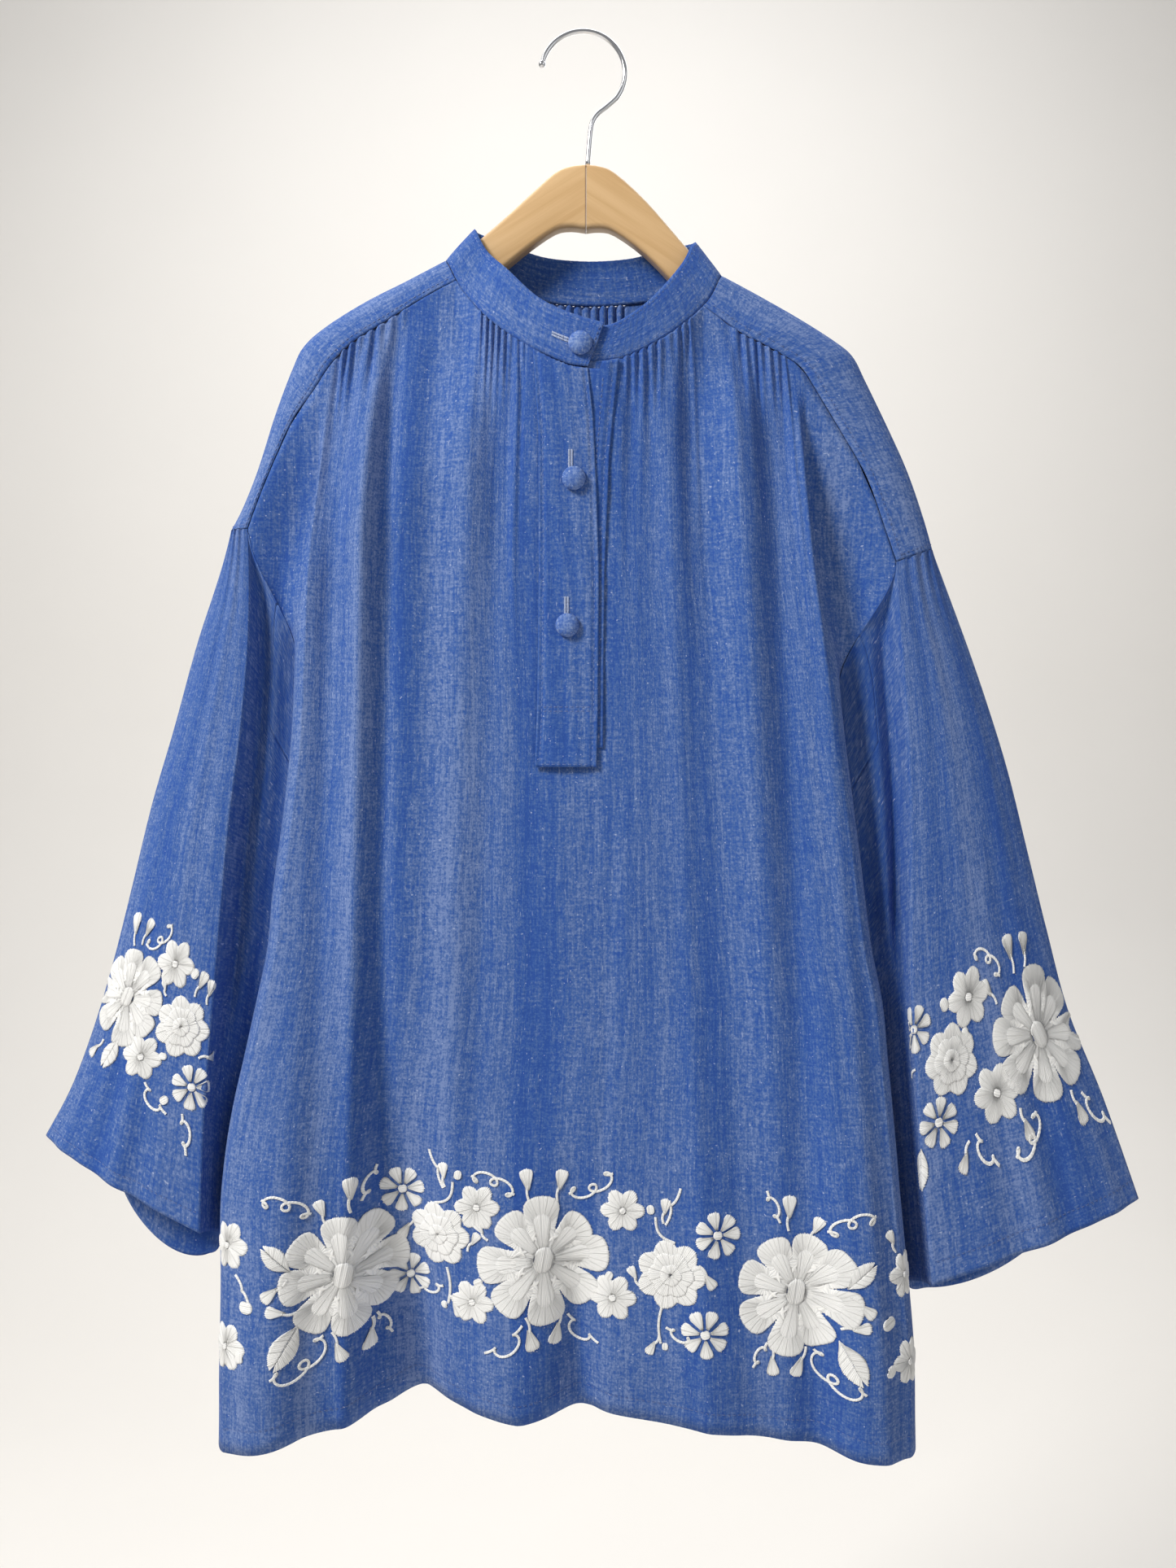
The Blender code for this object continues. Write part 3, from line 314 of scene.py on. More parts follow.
@dataclass
class Drape:
    """How the cloth hangs: every surface of the garment as a function, in millimetres."""

    seam: float = 0.35
    shoulder_depth: float = 17.0
    chest_depth: float = 34.0
    hem_depth: float = 38.0
    back_depth: float = 19.0
    spread: float = 150.0
    side_round: float = 14.0
    side_y: float = -1.0
    valley: float = 8.0
    back_valley: float = 3.0
    gather: float = 1.4
    gather_ratio: float = 2.0
    fold_ease: float = 60.0
    fold_gain: float = 1.15
    crease_gain: float = 1.65
    crease_width: float = 17.5
    inner_gap: float = 0.7
    hem_level: float = -1000.0
    hem_tuck: float = 5.0
    neck_blend: float = 0.25
    neck_level_y: float = -38.3
    side_columns: int = 7
    gather_rows: tuple[float, ...] = (0.0, 5.0, 14.0, 30.0, 55.0)
    chest_rows: int = 3
    skirt_rows: int = 9
    front_steps: int = 10
    pleat_steps: int = 7
    back_steps: int = 11
    sleeve_back_y: float = 10.0
    sleeve_inner_y: float = -2.0
    head_blend: float = 0.16
    strip_width: float = 22.0
    chest_z: float = -400.0
    skirt_length: float = 500.0
    tuck_z: float = -945.0
    opening_x: float = -8.0
    opening_half: float = 34.0
    opening_ease: float = 16.0
    plain_z: float = -600.0
    fold_lead: float = 0.15
    fold_reach: float = 2.6
    fold_fall: float = 1.2

    def __post_init__(self) -> None:
        """Lays out the columns of the two body panels and reads their upper edges."""
        self.front = self.front_layout()
        self.back = self.back_layout()
        self.front_edge = [(c.top.x, c.top.y, c.top.z) for c in self.front]
        self.back_edge = [(c.top.x, c.top.y, c.top.z) for c in self.back]

    def collar_low(self, place: float) -> Vector:
        """Point on the collar's lower seam."""
        return Vector(spline(COLLAR, place)[:3])

    def neck_edge(self, place: float) -> Vector:
        """Edge of a body piece just under the collar."""
        low = self.collar_low(place)
        out = Vector((low.x, low.y * 2.5, 0.0)).normalized()
        return low + out * self.seam + Vector((0.0, 0.0, -0.02))

    def saddle_seam(self, side: Side, s: float, back: bool = False) -> Vector:
        """Seam of the saddle with the front or the back.

        Args:
            side: side of the garment.
            s: 0 at the collar to 1 at the sleeve.
            back: whether the seam with the back is meant.

        Returns:
            The point on the seam.
        """
        row = spline(side.saddle, s * (len(side.saddle) - 1))
        depth = self.shoulder_depth if back else -self.shoulder_depth
        neck = self.neck_edge(side.neck_back if back else side.neck_front)
        start = side.saddle[0]
        shift = neck - Vector((start.seam_x, depth, start.seam_z))
        return Vector((row[2], depth, row[3])) + shift * (1.0 - smooth(s / self.neck_blend))

    def saddle_section(self, side: Side, s: float, turn: float) -> Vector:
        """Place on a saddle's own arch before it follows the collar; turn runs -1 in front to 1 behind."""
        row = spline(side.saddle, s * (len(side.saddle) - 1))
        ridge = Vector((row[0], 0.0, row[1]))
        drop = self.saddle_seam(side, s, turn > 0.0) - ridge
        angle = math.radians(90.0 * abs(turn))
        point = ridge + Vector((drop.x, 0.0, drop.z)) * (1.0 - math.cos(angle))
        point.y = drop.y * math.sin(angle)
        return point

    def saddle_point(self, side: Side, s: float, turn: float) -> Vector:
        """Place on a saddle; turn runs -1 at the front seam to 1 at the back seam."""
        place = mix(side.neck_front, side.neck_back, (turn + 1.0) / 2.0)
        start = self.saddle_section(side, 0.0, turn)
        shift = self.neck_edge(place) - start
        return self.saddle_section(side, s, turn) + shift * (1.0 - smooth(s / self.neck_blend))

    def body_edge(self, z: float, sign: float) -> float:
        """Outline of the body at height z, on its right side for a positive sign."""
        for i, (high, low) in enumerate(zip(EDGES, EDGES[1:])):
            if z >= low.z or low is EDGES[-1]:
                t = min(max((high.z - z) / (high.z - low.z), 0.0), 1.0)
                edge = Edge(*spline(EDGES, i + t))
                return edge.right if sign > 0.0 else edge.left
        return 0.0

    def fold_depth(self, folds: Sequence[Fold], x: float, z: float) -> float:
        """Sum of the soft folds at a place on a panel."""
        total = 0.0
        for fold in folds:
            t = (fold.z_top - z) / (fold.z_top - fold.z_low)
            if t < -self.fold_lead:
                continue
            centre = mix(fold.x_top, fold.x_low, t)
            off = (x - centre) / fold.width
            if abs(off) > self.fold_reach:
                continue
            start = smooth((t + self.fold_lead) / (2.0 * self.fold_lead))
            depth = mix(fold.depth_top, fold.depth_low, smooth(t)) * start
            gain = self.crease_gain if fold.width < self.crease_width else self.fold_gain
            total += depth * gain * math.exp(-self.fold_fall * off * off)
        return total

    def front_depth(self, x: float, z: float) -> float:
        """Depth of the front panel away from its sides."""
        top_z, top_y = lookup(self.front_edge, x, 2), lookup(self.front_edge, x, 1)
        below = top_z - z
        base = -mix(self.chest_depth, self.hem_depth, smooth((self.chest_z - z) / self.skirt_length))
        base += self.hem_tuck * smooth((self.tuck_z - z) / (self.tuck_z - self.hem_level))
        level = mix(top_y, base, smooth(below / self.spread))
        beside = smooth((abs(x - self.opening_x) - self.opening_half) / self.opening_ease)
        plain = 1.0 - (1.0 - beside) * smooth((z - self.plain_z) / self.fold_ease)
        return level + self.fold_depth(FOLDS_FRONT, x, z) * smooth(below / self.fold_ease) * plain

    def back_depth_at(self, x: float, z: float) -> float:
        """Depth of the back panel away from its sides."""
        top_z, top_y = lookup(self.back_edge, x, 2), lookup(self.back_edge, x, 1)
        below = top_z - z
        level = mix(top_y, self.back_depth, smooth(below / self.spread))
        return level + self.fold_depth(FOLDS_BACK, x, z) * smooth(below / self.fold_ease)

    def depth(self, x: float, z: float, back: bool) -> float:
        """Depth of the front or the back panel away from its sides."""
        return self.back_depth_at(x, z) if back else self.front_depth(x, z)

    def skin(self, x: float, z: float, back: bool) -> Vector:
        """Point on the lower body seen at x and z, with the rounding at the sides."""
        sign = 1.0 if x > 0.0 else -1.0
        edge = self.body_edge(z, sign)
        inner = edge - sign * self.side_round
        flat = self.depth(inner if (x - inner) * sign > 0.0 else x, z, back)
        turned = min(max(1.0 - (edge - x) * sign / self.side_round, 0.0), 1.0)
        facing = 1.0 if back else -1.0
        rise = math.sqrt(1.0 - turned * turned)
        return Vector((x, mix(self.side_y + facing * self.seam / 2.0, flat, rise), z))

    def side_point(self, side: Side, turn: float, top: Vector, z: float, back: bool) -> Vector:
        """Place on the part of a panel that turns round the side.

        Args:
            side: side of the garment.
            turn: 0 at the flat panel to 1 at its edge.
            top: upper end of this column.
            z: height.
            back: whether the back panel is meant.

        Returns:
            The point.
        """
        edge = self.body_edge(z, side.sign)
        angle = math.radians(90.0 * (1.0 - turn))
        facing = 1.0 if back else -1.0
        flat = self.depth(edge - side.sign * self.side_round, z, back)
        x = edge - side.sign * self.side_round * (1.0 - math.cos(angle))
        y = mix(self.side_y + facing * self.seam / 2.0, flat, math.sin(angle))
        u = smooth((top.z - z) / max(top.z - side.under_z, 1.0))
        valley = self.back_valley if back else self.valley
        y = mix(top.y, y, u * u) - facing * valley * 4.0 * u * (1.0 - u) * math.sin(math.pi * turn)
        return Vector((mix(top.x, x, u), y, z))

    def side_layout(self, side: Side, back: bool) -> list[Column]:
        """Columns from the armhole corner to the ridge of the side fold."""
        columns = []
        for k in range(self.side_columns, 0, -1):
            s = mix(side.first_ridge, 1.0, k / self.side_columns)
            columns.append(Column(self.saddle_seam(side, s, back), 0.0, 0.0, side, k / self.side_columns))
        return columns

    def runs(self, place: Callable[[float], Vector], stops: Sequence[float], counts: Sequence[int]) -> list[Column]:
        """Columns whose tops follow a curve; the second run is the gathered one.

        Args:
            place: the curve.
            stops: places on it that the runs start at, and the place that the next curve starts at.
            counts: how many columns each run has.

        Returns:
            The columns.
        """
        columns = []
        for i, (start, end, count) in enumerate(zip(stops, stops[1:], counts)):
            gather, cloth = (self.gather, self.gather_ratio) if i == 1 else (0.0, 1.0)
            columns += [Column(place(mix(start, end, k / count)), gather, cloth, None, 0.0) for k in range(count)]
        return columns

    def seam_lines(self, back: bool) -> list[Callable[[float], Vector]]:
        """Seams of the left and the right saddle with a body panel, by the share along them."""
        return [lambda s, side=side: self.saddle_seam(side, s, back) for side in (LEFT, RIGHT)]

    def front_layout(self) -> list[Column]:
        """Columns of the front, from its left edge to its right edge."""
        left, right = self.seam_lines(False)

        def neck(place: float) -> Vector:
            """Seam with the collar, kept level where its ends overlap."""
            point = self.neck_edge(place)
            point.y = max(point.y, self.neck_level_y)
            return point

        columns = self.side_layout(LEFT, False) + self.runs(left, (0.44, 0.40, 0.13, 0.0), (1, 14, 3))
        columns += self.runs(neck, (4.4, 3.45, 2.05, 1.0), (3, 16, 4))
        columns += self.runs(neck, (19.0, 18.2, 16.5, 16.15), (2, 18, 2))
        columns += self.runs(right, (0.0, 0.08, 0.35, 0.39, 0.40), (2, 14, 1, 1))
        return columns + self.side_layout(RIGHT, False)[::-1]

    def back_layout(self) -> list[Column]:
        """Columns of the back, from its edge on the left to its edge on the right."""
        left, right = self.seam_lines(True)
        columns = self.side_layout(LEFT, True) + self.runs(left, (0.44, 0.0), (7,))
        columns += self.runs(self.neck_edge, (7.3, 9.0, 11.0, 12.75), (4, 20, 5))
        columns += self.runs(right, (0.0, 0.39), (6,)) + self.runs(right, (0.39, 0.40), (1,))
        return columns + self.side_layout(RIGHT, True)[::-1]

    @property
    def sleeve_steps(self) -> int:
        """Steps all round a sleeve."""
        return self.front_steps + self.pleat_steps + self.back_steps

    def armhole_point(self, side: Side, step: float, back: bool) -> Vector:
        """Point on the armhole edge of a body panel, counted in steps from the saddle down."""
        corner = self.saddle_seam(side, 1.0, back)
        return self.side_point(side, 1.0, corner, mix(corner.z, side.under_z, step / self.pleat_steps), back)

    def sleeve_point(self, side: Side, w: float, t: float) -> Vector:
        """Place on a sleeve.

        Args:
            side: side of the garment.
            w: steps round the sleeve from its outer edge, over its front, its fold and its back.
            t: 0 at the saddle to 1 at the cuff.

        Returns:
            The point.
        """
        row = Sleeve(*spline(side.sleeve, t * (len(side.sleeve) - 1)))
        outer = Vector((row.outer_x, self.side_y, row.outer_z))
        ridge = Vector((row.ridge_x, row.ridge_y, row.ridge_z))
        beside = self.body_edge(row.inner_z, side.sign) + side.sign * self.inner_gap
        near = 1.0 - smooth((abs(row.inner_x - beside) - 3.0) / 4.0)
        inner = Vector((mix(row.inner_x, beside, near), self.sleeve_inner_y, row.inner_z))
        wide = min(abs(row.ridge_x - row.inner_x) / self.strip_width, 1.0)
        head = 1.0 - smooth(t / self.head_blend)
        out = Vector((side.sign * self.seam, 0.0, -self.seam * 0.5))
        end = Vector((side.sign * self.seam * 0.5, 0.0, -self.seam * 1.2))
        fold_end = self.front_steps + self.pleat_steps
        w %= self.sleeve_steps
        if w < self.front_steps:
            q = w / self.front_steps
            angle = math.radians(90.0 * q)
            point = outer.lerp(ridge, mix(q, 1.0 - math.cos(angle), 0.5))
            point.y = mix(outer.y, ridge.y, math.sin(angle) ** 0.9)
            point = point.lerp(self.saddle_point(side, 1.0, -q) + end, head)
            ripple = -1.3 * math.sin(math.pi * q) * math.cos(math.pi * w)
            point.y -= ripple * (1.0 - smooth(t / 0.24)) * smooth(t / 0.02)
            return point
        if w < fold_end:
            i = w - self.front_steps
            q = i / self.pleat_steps
            point = ridge.lerp(inner, q ** 1.3)
            strip = mix(self.sleeve_inner_y, side.strip_y, wide * wide)
            low = mix(self.sleeve_inner_y, strip, math.exp(-((q - 0.62) / 0.2) ** 2))
            pleated = mix(ridge.y, low, smooth(q / 0.38))
            point.y = mix(mix(ridge.y, self.sleeve_inner_y, q), pleated, wide * wide)
            top = self.armhole_point(side, i, False) + out
            top.y -= 1.5 * q ** 3
            return point.lerp(top, head)
        i = w - fold_end
        q = i / self.back_steps
        point = inner.lerp(outer, q)
        point.y = mix(self.sleeve_inner_y, self.sleeve_back_y, smooth(min(q, 1.0 - q) / 0.12))
        sag = math.sqrt(max(math.sin(math.pi * min(q / 0.62, 1.0)), 0.0))
        point.z -= side.drop * sag * smooth((t - 0.55) / 0.45)
        if i <= self.pleat_steps:
            top = self.armhole_point(side, self.pleat_steps - i, True) + out
            top.y += 1.5 * (1.0 - i / self.pleat_steps) ** 3
        else:
            over = self.back_steps - self.pleat_steps
            top = self.saddle_point(side, 1.0, 1.0 - (i - self.pleat_steps) / over) + end
        return point.lerp(top, head)


class Wire:
    """A value in a material; arithmetic on it adds Math nodes."""

    def __init__(self, recipe: "Recipe", socket: bpy.types.NodeSocket) -> None:
        """Keeps the socket and the recipe that it belongs to."""
        self.recipe = recipe
        self.socket = socket

    def math(self, operation: str, *values: "Wire | float") -> "Wire":
        """A Math node on these values."""
        named = {str(i): value for i, value in enumerate(values)}
        return self.recipe.node("ShaderNodeMath", {"operation": operation}, named)

    def __add__(self, other: "Wire | float") -> "Wire":
        """Sum."""
        return self.math("ADD", self, other)

    def __sub__(self, other: "Wire | float") -> "Wire":
        """Difference."""
        return self.math("SUBTRACT", self, other)

    def __rsub__(self, other: float) -> "Wire":
        """Difference from a number."""
        return self.math("SUBTRACT", other, self)

    def __mul__(self, other: "Wire | float") -> "Wire":
        """Product."""
        return self.math("MULTIPLY", self, other)

    def __pow__(self, other: float) -> "Wire":
        """Power."""
        return self.math("POWER", self, other)

    __radd__ = __add__
    __rmul__ = __mul__

    def wave(self) -> "Wire":
        """Sine of the value."""
        return self.math("SINE", self)

    def size(self) -> "Wire":
        """The value without its sign."""
        return self.math("ABSOLUTE", self)

    def step(self, low: float, high: float) -> "Wire":
        """Eased step that is 0 up to low and 1 from high."""
        settings = {"interpolation_type": "SMOOTHSTEP"}
        return self.recipe.node("ShaderNodeMapRange", settings, {"Value": self, "From Min": low, "From Max": high})


class Recipe:
    """The node tree of one finish."""

    def __init__(self, name: str, roughness: float, **constants: float) -> None:
        """Starts a finish.

        Args:
            name: name of the material.
            roughness: roughness all over.
            constants: values that are the same all over, by shader socket with _ for a space.
        """
        self.material = bpy.data.materials.new(name)
        self.material.use_nodes = True
        self.tree = self.material.node_tree
        self.shader = self.tree.nodes["Principled BSDF"]
        self.shader.inputs["Roughness"].default_value = roughness
        for socket, value in constants.items():
            self.shader.inputs[socket.replace("_", " ")].default_value = value

    def node(self, kind: str, settings: dict, inputs: dict, output: str | int = 0) -> Wire:
        """Adds a node.

        Args:
            kind: type of the node.
            settings: its properties, set first; "stops" holds the stops of a ramp.
            inputs: value or wire of each socket, by name, identifier or number.
            output: name or number of the output to return.

        Returns:
            The output.
        """
        made = self.tree.nodes.new(kind)
        for key, value in settings.items():
            if key == "stops":
                ramp = made.color_ramp
                while len(ramp.elements) < len(value):
                    ramp.elements.new(0.5)
                for stop, (place, colour) in zip(ramp.elements, value):
                    stop.position = place
                    stop.color = (*colour, 1.0)
            else:
                setattr(made, key, value)
        for key, value in inputs.items():
            if key.isdigit():
                socket = made.inputs[int(key)]
            else:
                socket = next(s for s in made.inputs if key in (s.name, s.identifier) and s.enabled)
            if isinstance(value, Wire):
                self.tree.links.new(value.socket, socket)
            else:
                socket.default_value = (*value, 1.0) if isinstance(value, tuple) and socket.type == "RGBA" else value
        outputs = [s for s in made.outputs if s.enabled]
        chosen = outputs[output] if isinstance(output, int) else next(s for s in outputs if s.name == output)
        return Wire(self, chosen)

    def cloth_place(self, layer: str = "cloth") -> Wire:
        """The piece's own flat coordinates, in metres."""
        return self.node("ShaderNodeUVMap", {"uv_map": layer}, {})

    def object_place(self) -> Wire:
        """Object coordinates."""
        return self.node("ShaderNodeTexCoord", {}, {}, "Object")

    def noise(self, place: Wire, scale: tuple[float, float, float], detail: float = 3.0,
              shift: float = 0.0, roughness: float = 0.55) -> Wire:
        """Noise with its own scale along each axis, from 0 to 1."""
        spread = self.node("ShaderNodeMapping", {}, {"Vector": place, "Scale": scale, "Location": (shift,) * 3})
        inputs = {"Vector": spread, "Scale": 1.0, "Detail": detail, "Roughness": roughness}
        return self.node("ShaderNodeTexNoise", {}, inputs)

    def blend(self, factor: Wire | float, one: "Wire | tuple", two: "Wire | tuple", kind: str = "MIX") -> Wire:
        """Mix of two colours."""
        settings = {"data_type": "RGBA", "blend_type": kind}
        return self.node("ShaderNodeMix", settings, {"Factor_Float": factor, "A_Color": one, "B_Color": two})

    def across(self, place: Wire, axis: str) -> Wire:
        """One coordinate of a place."""
        return self.node("ShaderNodeSeparateXYZ", {}, {"Vector": place}, axis)

    def feed(self, socket: str, wire: Wire) -> None:
        """Links a wire to the shader."""
        self.tree.links.new(wire.socket, self.shader.inputs[socket])

    def relief(self, height: Wire, distance: float, strength: float = 1.0) -> None:
        """Feeds the shader's normal from a height.

        Args:
            height: height from 0 to 1.
            distance: metres that 1 stands for.
            strength: share of the effect.
        """
        inputs = {"Height": height, "Distance": distance, "Strength": strength}
        self.feed("Normal", self.node("ShaderNodeBump", {}, inputs))


@dataclass(frozen=True)
class Chambray:
    """Blue woven cotton: streaked warp, pale weft, slubs and a little wear.

    Args:
        name: name of the material.
        deep: colour of the clearest blue bands.
        clear: colour beside them.
        middle: usual colour.
        pale: colour of the palest streaks.
        fleck: colour of the bare slubs.
        swing: strength of the broad streaks.
        quilted: share of small puckers along the stitching.
    """

    name: str = "chambray_fine"
    deep: tuple[float, float, float] = (0.026, 0.084, 0.345)
    clear: tuple[float, float, float] = (0.044, 0.115, 0.375)
    middle: tuple[float, float, float] = (0.072, 0.142, 0.370)
    pale: tuple[float, float, float] = (0.175, 0.250, 0.480)
    fleck: tuple[float, float, float] = (0.52, 0.58, 0.76)
    swing: float = 1.0
    quilted: float = 0.0

    def material(self) -> bpy.types.Material:
        """Builds the material."""
        r = Recipe(self.name, 0.9, Sheen_Weight=0.06, Sheen_Roughness=0.5, Specular_IOR_Level=0.2)
        uv = r.cloth_place()
        broad = r.noise(uv, (19.0, 0.6, 1.0), 2.0)
        streak = r.noise(uv, (230.0, 8.0, 1.0), 3.0, 3.1)
        thread = r.noise(uv, (760.0, 60.0, 1.0), 2.0, 7.7)
        weft = r.noise(uv, (70.0, 620.0, 1.0), 2.0, 1.3)
        weft_band = r.noise(uv, (1.2, 24.0, 1.0), 3.0, 11.3)
        speck = r.noise(uv, (640.0, 640.0, 1.0), 2.0, 5.5)
        tone = 0.52 + (broad - 0.5) * (1.2 * self.swing) + (streak - 0.5) * (0.8 * self.swing)
        tone = tone + (thread - 0.5) * 0.9 + (weft - 0.5) * 0.75 + (weft_band - 0.5) * 0.14 + (speck - 0.5) * 1.6
        stops = {"stops": [(0.14, self.deep), (0.38, self.clear), (0.58, self.middle), (0.98, self.pale)]}
        colour = r.node("ShaderNodeValToRGB", stops, {"Fac": tone})
        slub = r.noise(uv, (640.0, 130.0, 1.0), 1.0, 9.1).step(0.71, 0.78)
        nep = r.noise(uv, (520.0, 520.0, 1.0), 0.0, 2.4).step(0.81, 0.87)
        colour = r.blend(slub * 0.38, colour, self.fleck)
        colour = r.blend(nep * 0.55, colour, self.fleck)
        r.feed("Base Color", colour)
        warp = (r.across(uv, "X") * 9200.0).wave() * 0.5 + 0.5
        fill = (r.across(uv, "Y") * 9200.0).wave() * 0.5 + 0.5
        crumple = r.noise(uv, (75.0, 18.0, 1.0), 4.0, 13.0)
        height = crumple * 0.62 + thread * 0.16 + weft * 0.10 + warp * fill * 0.06 + slub * 0.06
        if self.quilted > 0.0:
            pucker = r.noise(uv, (60.0, 260.0, 1.0), 1.0, 4.0)
            height = height + pucker * self.quilted
        r.relief(height, 0.0016, 0.75)
        return r.material


@dataclass(frozen=True)
class Thread:
    """Stranded thread lying in stitches side by side, with painted shade between the stitches and at their ends.

    Args:
        name: name of the material.
        light: colour on the crown of a stitch.
        shade: painted shade between the stitches and at their ends.
        rough: roughness.
        sheen: share of soft sheen.
    """

    name: str
    light: tuple[float, float, float]
    shade: tuple[float, float, float]
    rough: float
    sheen: float

    def material(self) -> bpy.types.Material:
        """Builds the material."""
        r = Recipe(self.name, self.rough, Sheen_Weight=self.sheen, Sheen_Roughness=0.4, Specular_IOR_Level=0.35)
        uv = r.cloth_place("stitch")
        run, along = r.across(uv, "X"), r.across(uv, "Y")
        crown = 0.5 + (run * math.tau - math.pi / 2.0).wave() * 0.5
        each = r.noise(uv, (1.1, 0.35, 1.0), 1.0)
        fibre = r.noise(uv, (9.0, 1.4, 1.0), 2.0, 4.0)
        # Painted shade: the colour darkens between the stitches (crown) and towards the stitch ends (ends)
        ends = along.step(0.0, 0.10) * (1.0 - along.step(0.90, 1.0))
        painted_shade_and_tone = (crown.step(0.0, 0.6) * 0.7 + 0.3) * (0.75 + each * 0.45) * (ends * 0.55 + 0.45)
        # Blend from the painted shade colour to the lit colour, by painted shade times random tone of each thread
        r.feed("Base Color", r.blend(painted_shade_and_tone.step(0.05, 0.85), self.shade, self.light))
        r.relief(crown * 0.45 + fibre * 0.35 + ends * 0.2, 0.0005, 0.7)
        return r.material


@dataclass(frozen=True)
class VarnishedWood:
    """Pale turned wood under satin varnish, with its grain along the arms.

    Args:
        name: name of the material.
        light: colour between the growth lines.
        dark: colour of the growth lines.
        tilt: turn of the grain about the viewing axis, in degrees.
        joint: place of the glued joint across the hanger, in metres.
    """

    name: str = "wood_left"
    light: tuple[float, float, float] = (0.76, 0.515, 0.27)
    dark: tuple[float, float, float] = (0.58, 0.355, 0.155)
    tilt: float = 32.0
    joint: float = 0.0

    def material(self) -> bpy.types.Material:
        """Builds the material."""
        r = Recipe(self.name, 0.38, Coat_Weight=0.35, Coat_Roughness=0.22, Specular_IOR_Level=0.45)
        turned = {"Vector": r.object_place(), "Rotation": (0.0, math.radians(self.tilt), 0.0)}
        place = r.node("ShaderNodeMapping", {}, turned)
        grain = r.noise(place, (7.0, 120.0, 150.0), 4.0, 1.0)
        pore = r.noise(place, (28.0, 900.0, 1100.0), 2.0, 6.0)
        cloud = r.noise(place, (6.0, 18.0, 18.0), 2.0, 3.0)
        tone = (grain.step(0.3, 0.75) * 0.6 + pore * 0.25 + cloud * 0.3)
        glue = 1.0 - (r.across(r.object_place(), "X") - self.joint).size().step(0.0003, 0.0008)
        r.feed("Base Color", r.blend(glue * 0.8, r.blend(tone, self.light, self.dark), (0.16, 0.075, 0.03)))
        r.feed("Roughness", 0.32 + cloud * 0.14)
        r.relief(grain * 0.5 + pore * 0.5, 0.0002, 0.35)
        return r.material


@dataclass(frozen=True)
class BrightWire:
    """Polished chrome on wire, with a few dull specks."""

    name: str = "bright_wire"

    def material(self) -> bpy.types.Material:
        """Builds the material."""
        r = Recipe(self.name, 0.14, Metallic=1.0)
        place = r.object_place()
        dull = r.noise(place, (160.0, 160.0, 160.0), 3.0)
        r.feed("Roughness", 0.10 + dull * 0.12)
        r.feed("Base Color", r.blend(dull.step(0.55, 0.8), (0.83, 0.83, 0.84), (0.66, 0.66, 0.67)))
        return r.material


@dataclass(frozen=True)
class Plaster:
    """Plain pale studio sweep."""

    name: str = "studio_sweep"
    colour: tuple[float, float, float] = (0.83, 0.80, 0.755)

    def material(self) -> bpy.types.Material:
        """Builds the material."""
        r = Recipe(self.name, 0.95)
        cloud = r.noise(r.object_place(), (2.5, 2.5, 2.5), 3.0)
        darker = tuple(c * 0.965 for c in self.colour)
        r.feed("Base Color", r.blend(cloud, self.colour, darker))
        return r.material


class Net:
    """Faces of a piece in the making, with flat coordinates at each corner."""

    def __init__(self, layer: str = "cloth") -> None:
        """Starts an empty net whose flat coordinates go to this layer."""
        self.layer = layer
        self.points: list[Vector] = []
        self.faces: list[tuple[int, ...]] = []
        self.flats: list[tuple[tuple[float, float], ...]] = []

    def grid(self, points: list[list[Vector]], flats: list[list[tuple[float, float]]], closed: bool = False,
             keep: Callable[[int, int], bool] | None = None) -> None:
        """Adds a grid of quads.

        Args:
            points: rows of points.
            flats: rows of flat coordinates; a closed grid has one more in each row.
            closed: whether each row joins up with its own start.
            keep: test of a quad's row and column.
        """
        start = len(self.points)
        wide = len(points[0])
        for row in points:
            self.points += row
        for r in range(len(points) - 1):
            for k in range(wide if closed else wide - 1):
                if keep is not None and not keep(r, k):
                    continue
                n = (k + 1) % wide
                a, b = start + r * wide, start + (r + 1) * wide
                self.faces.append((a + k, b + k, b + n, a + n))
                self.flats.append((flats[r][k], flats[r + 1][k], flats[r + 1][k + 1], flats[r][k + 1]))

    def mesh(self, name: str, outward: Callable[[Vector], Vector] | None = None) -> bpy.types.Mesh:
        """Makes the mesh in metres.

        Args:
            name: name of the mesh.
            outward: rough way out at a point, to set which side of the faces is outside.

        Returns:
            The mesh.
        """
        work = bmesh.new()
        layer = work.loops.layers.uv.new(self.layer)
        corners = [work.verts.new(p * MM) for p in self.points]
        for face, flat in zip(self.faces, self.flats):
            made = work.faces.new([corners[i] for i in face])
            made.smooth = True
            for loop, place in zip(made.loops, flat):
                loop[layer].uv = place
        bmesh.ops.delete(work, geom=[v for v in work.verts if not v.link_faces], context="VERTS")
        work.normal_update()
        if outward is not None:
            total = sum(f.normal.dot(outward(f.calc_center_median() / MM)) * f.calc_area() for f in work.faces)
            if total < 0.0:
                bmesh.ops.reverse_faces(work, faces=work.faces[:])
        data = bpy.data.meshes.new(name)
        work.to_mesh(data)
        work.free()
        return data


def add_object(name: str, data: bpy.types.ID) -> bpy.types.Object:
    """Puts an object with this data into the scene."""
    made = bpy.data.objects.new(name, data)
    bpy.context.scene.collection.objects.link(made)
    return made


def place_piece(name: str, data: bpy.types.Mesh, material: bpy.types.Material,
                stands_for: Sequence[str] = (), wall: float = 0.0) -> bpy.types.Object:
    """Puts a finished mesh into the scene.

    Args:
        name: name of the piece.
        data: its mesh.
        material: its finish.
        stands_for: solids that it stands for.
        wall: thickness in millimetres to give a sheet, inwards.

    Returns:
        The piece.
    """
    piece = add_object(name, data)
    data.materials.clear()
    data.materials.append(material)
    if wall > 0.0:
        apply_modifier(piece, "SOLIDIFY", thickness=wall * MM, offset=-1.0, use_rim=True)
    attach(piece, "root")
    if stands_for:
        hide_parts(*stands_for)
    LOG.info("%s: %d faces", name, len(data.polygons))
    return piece


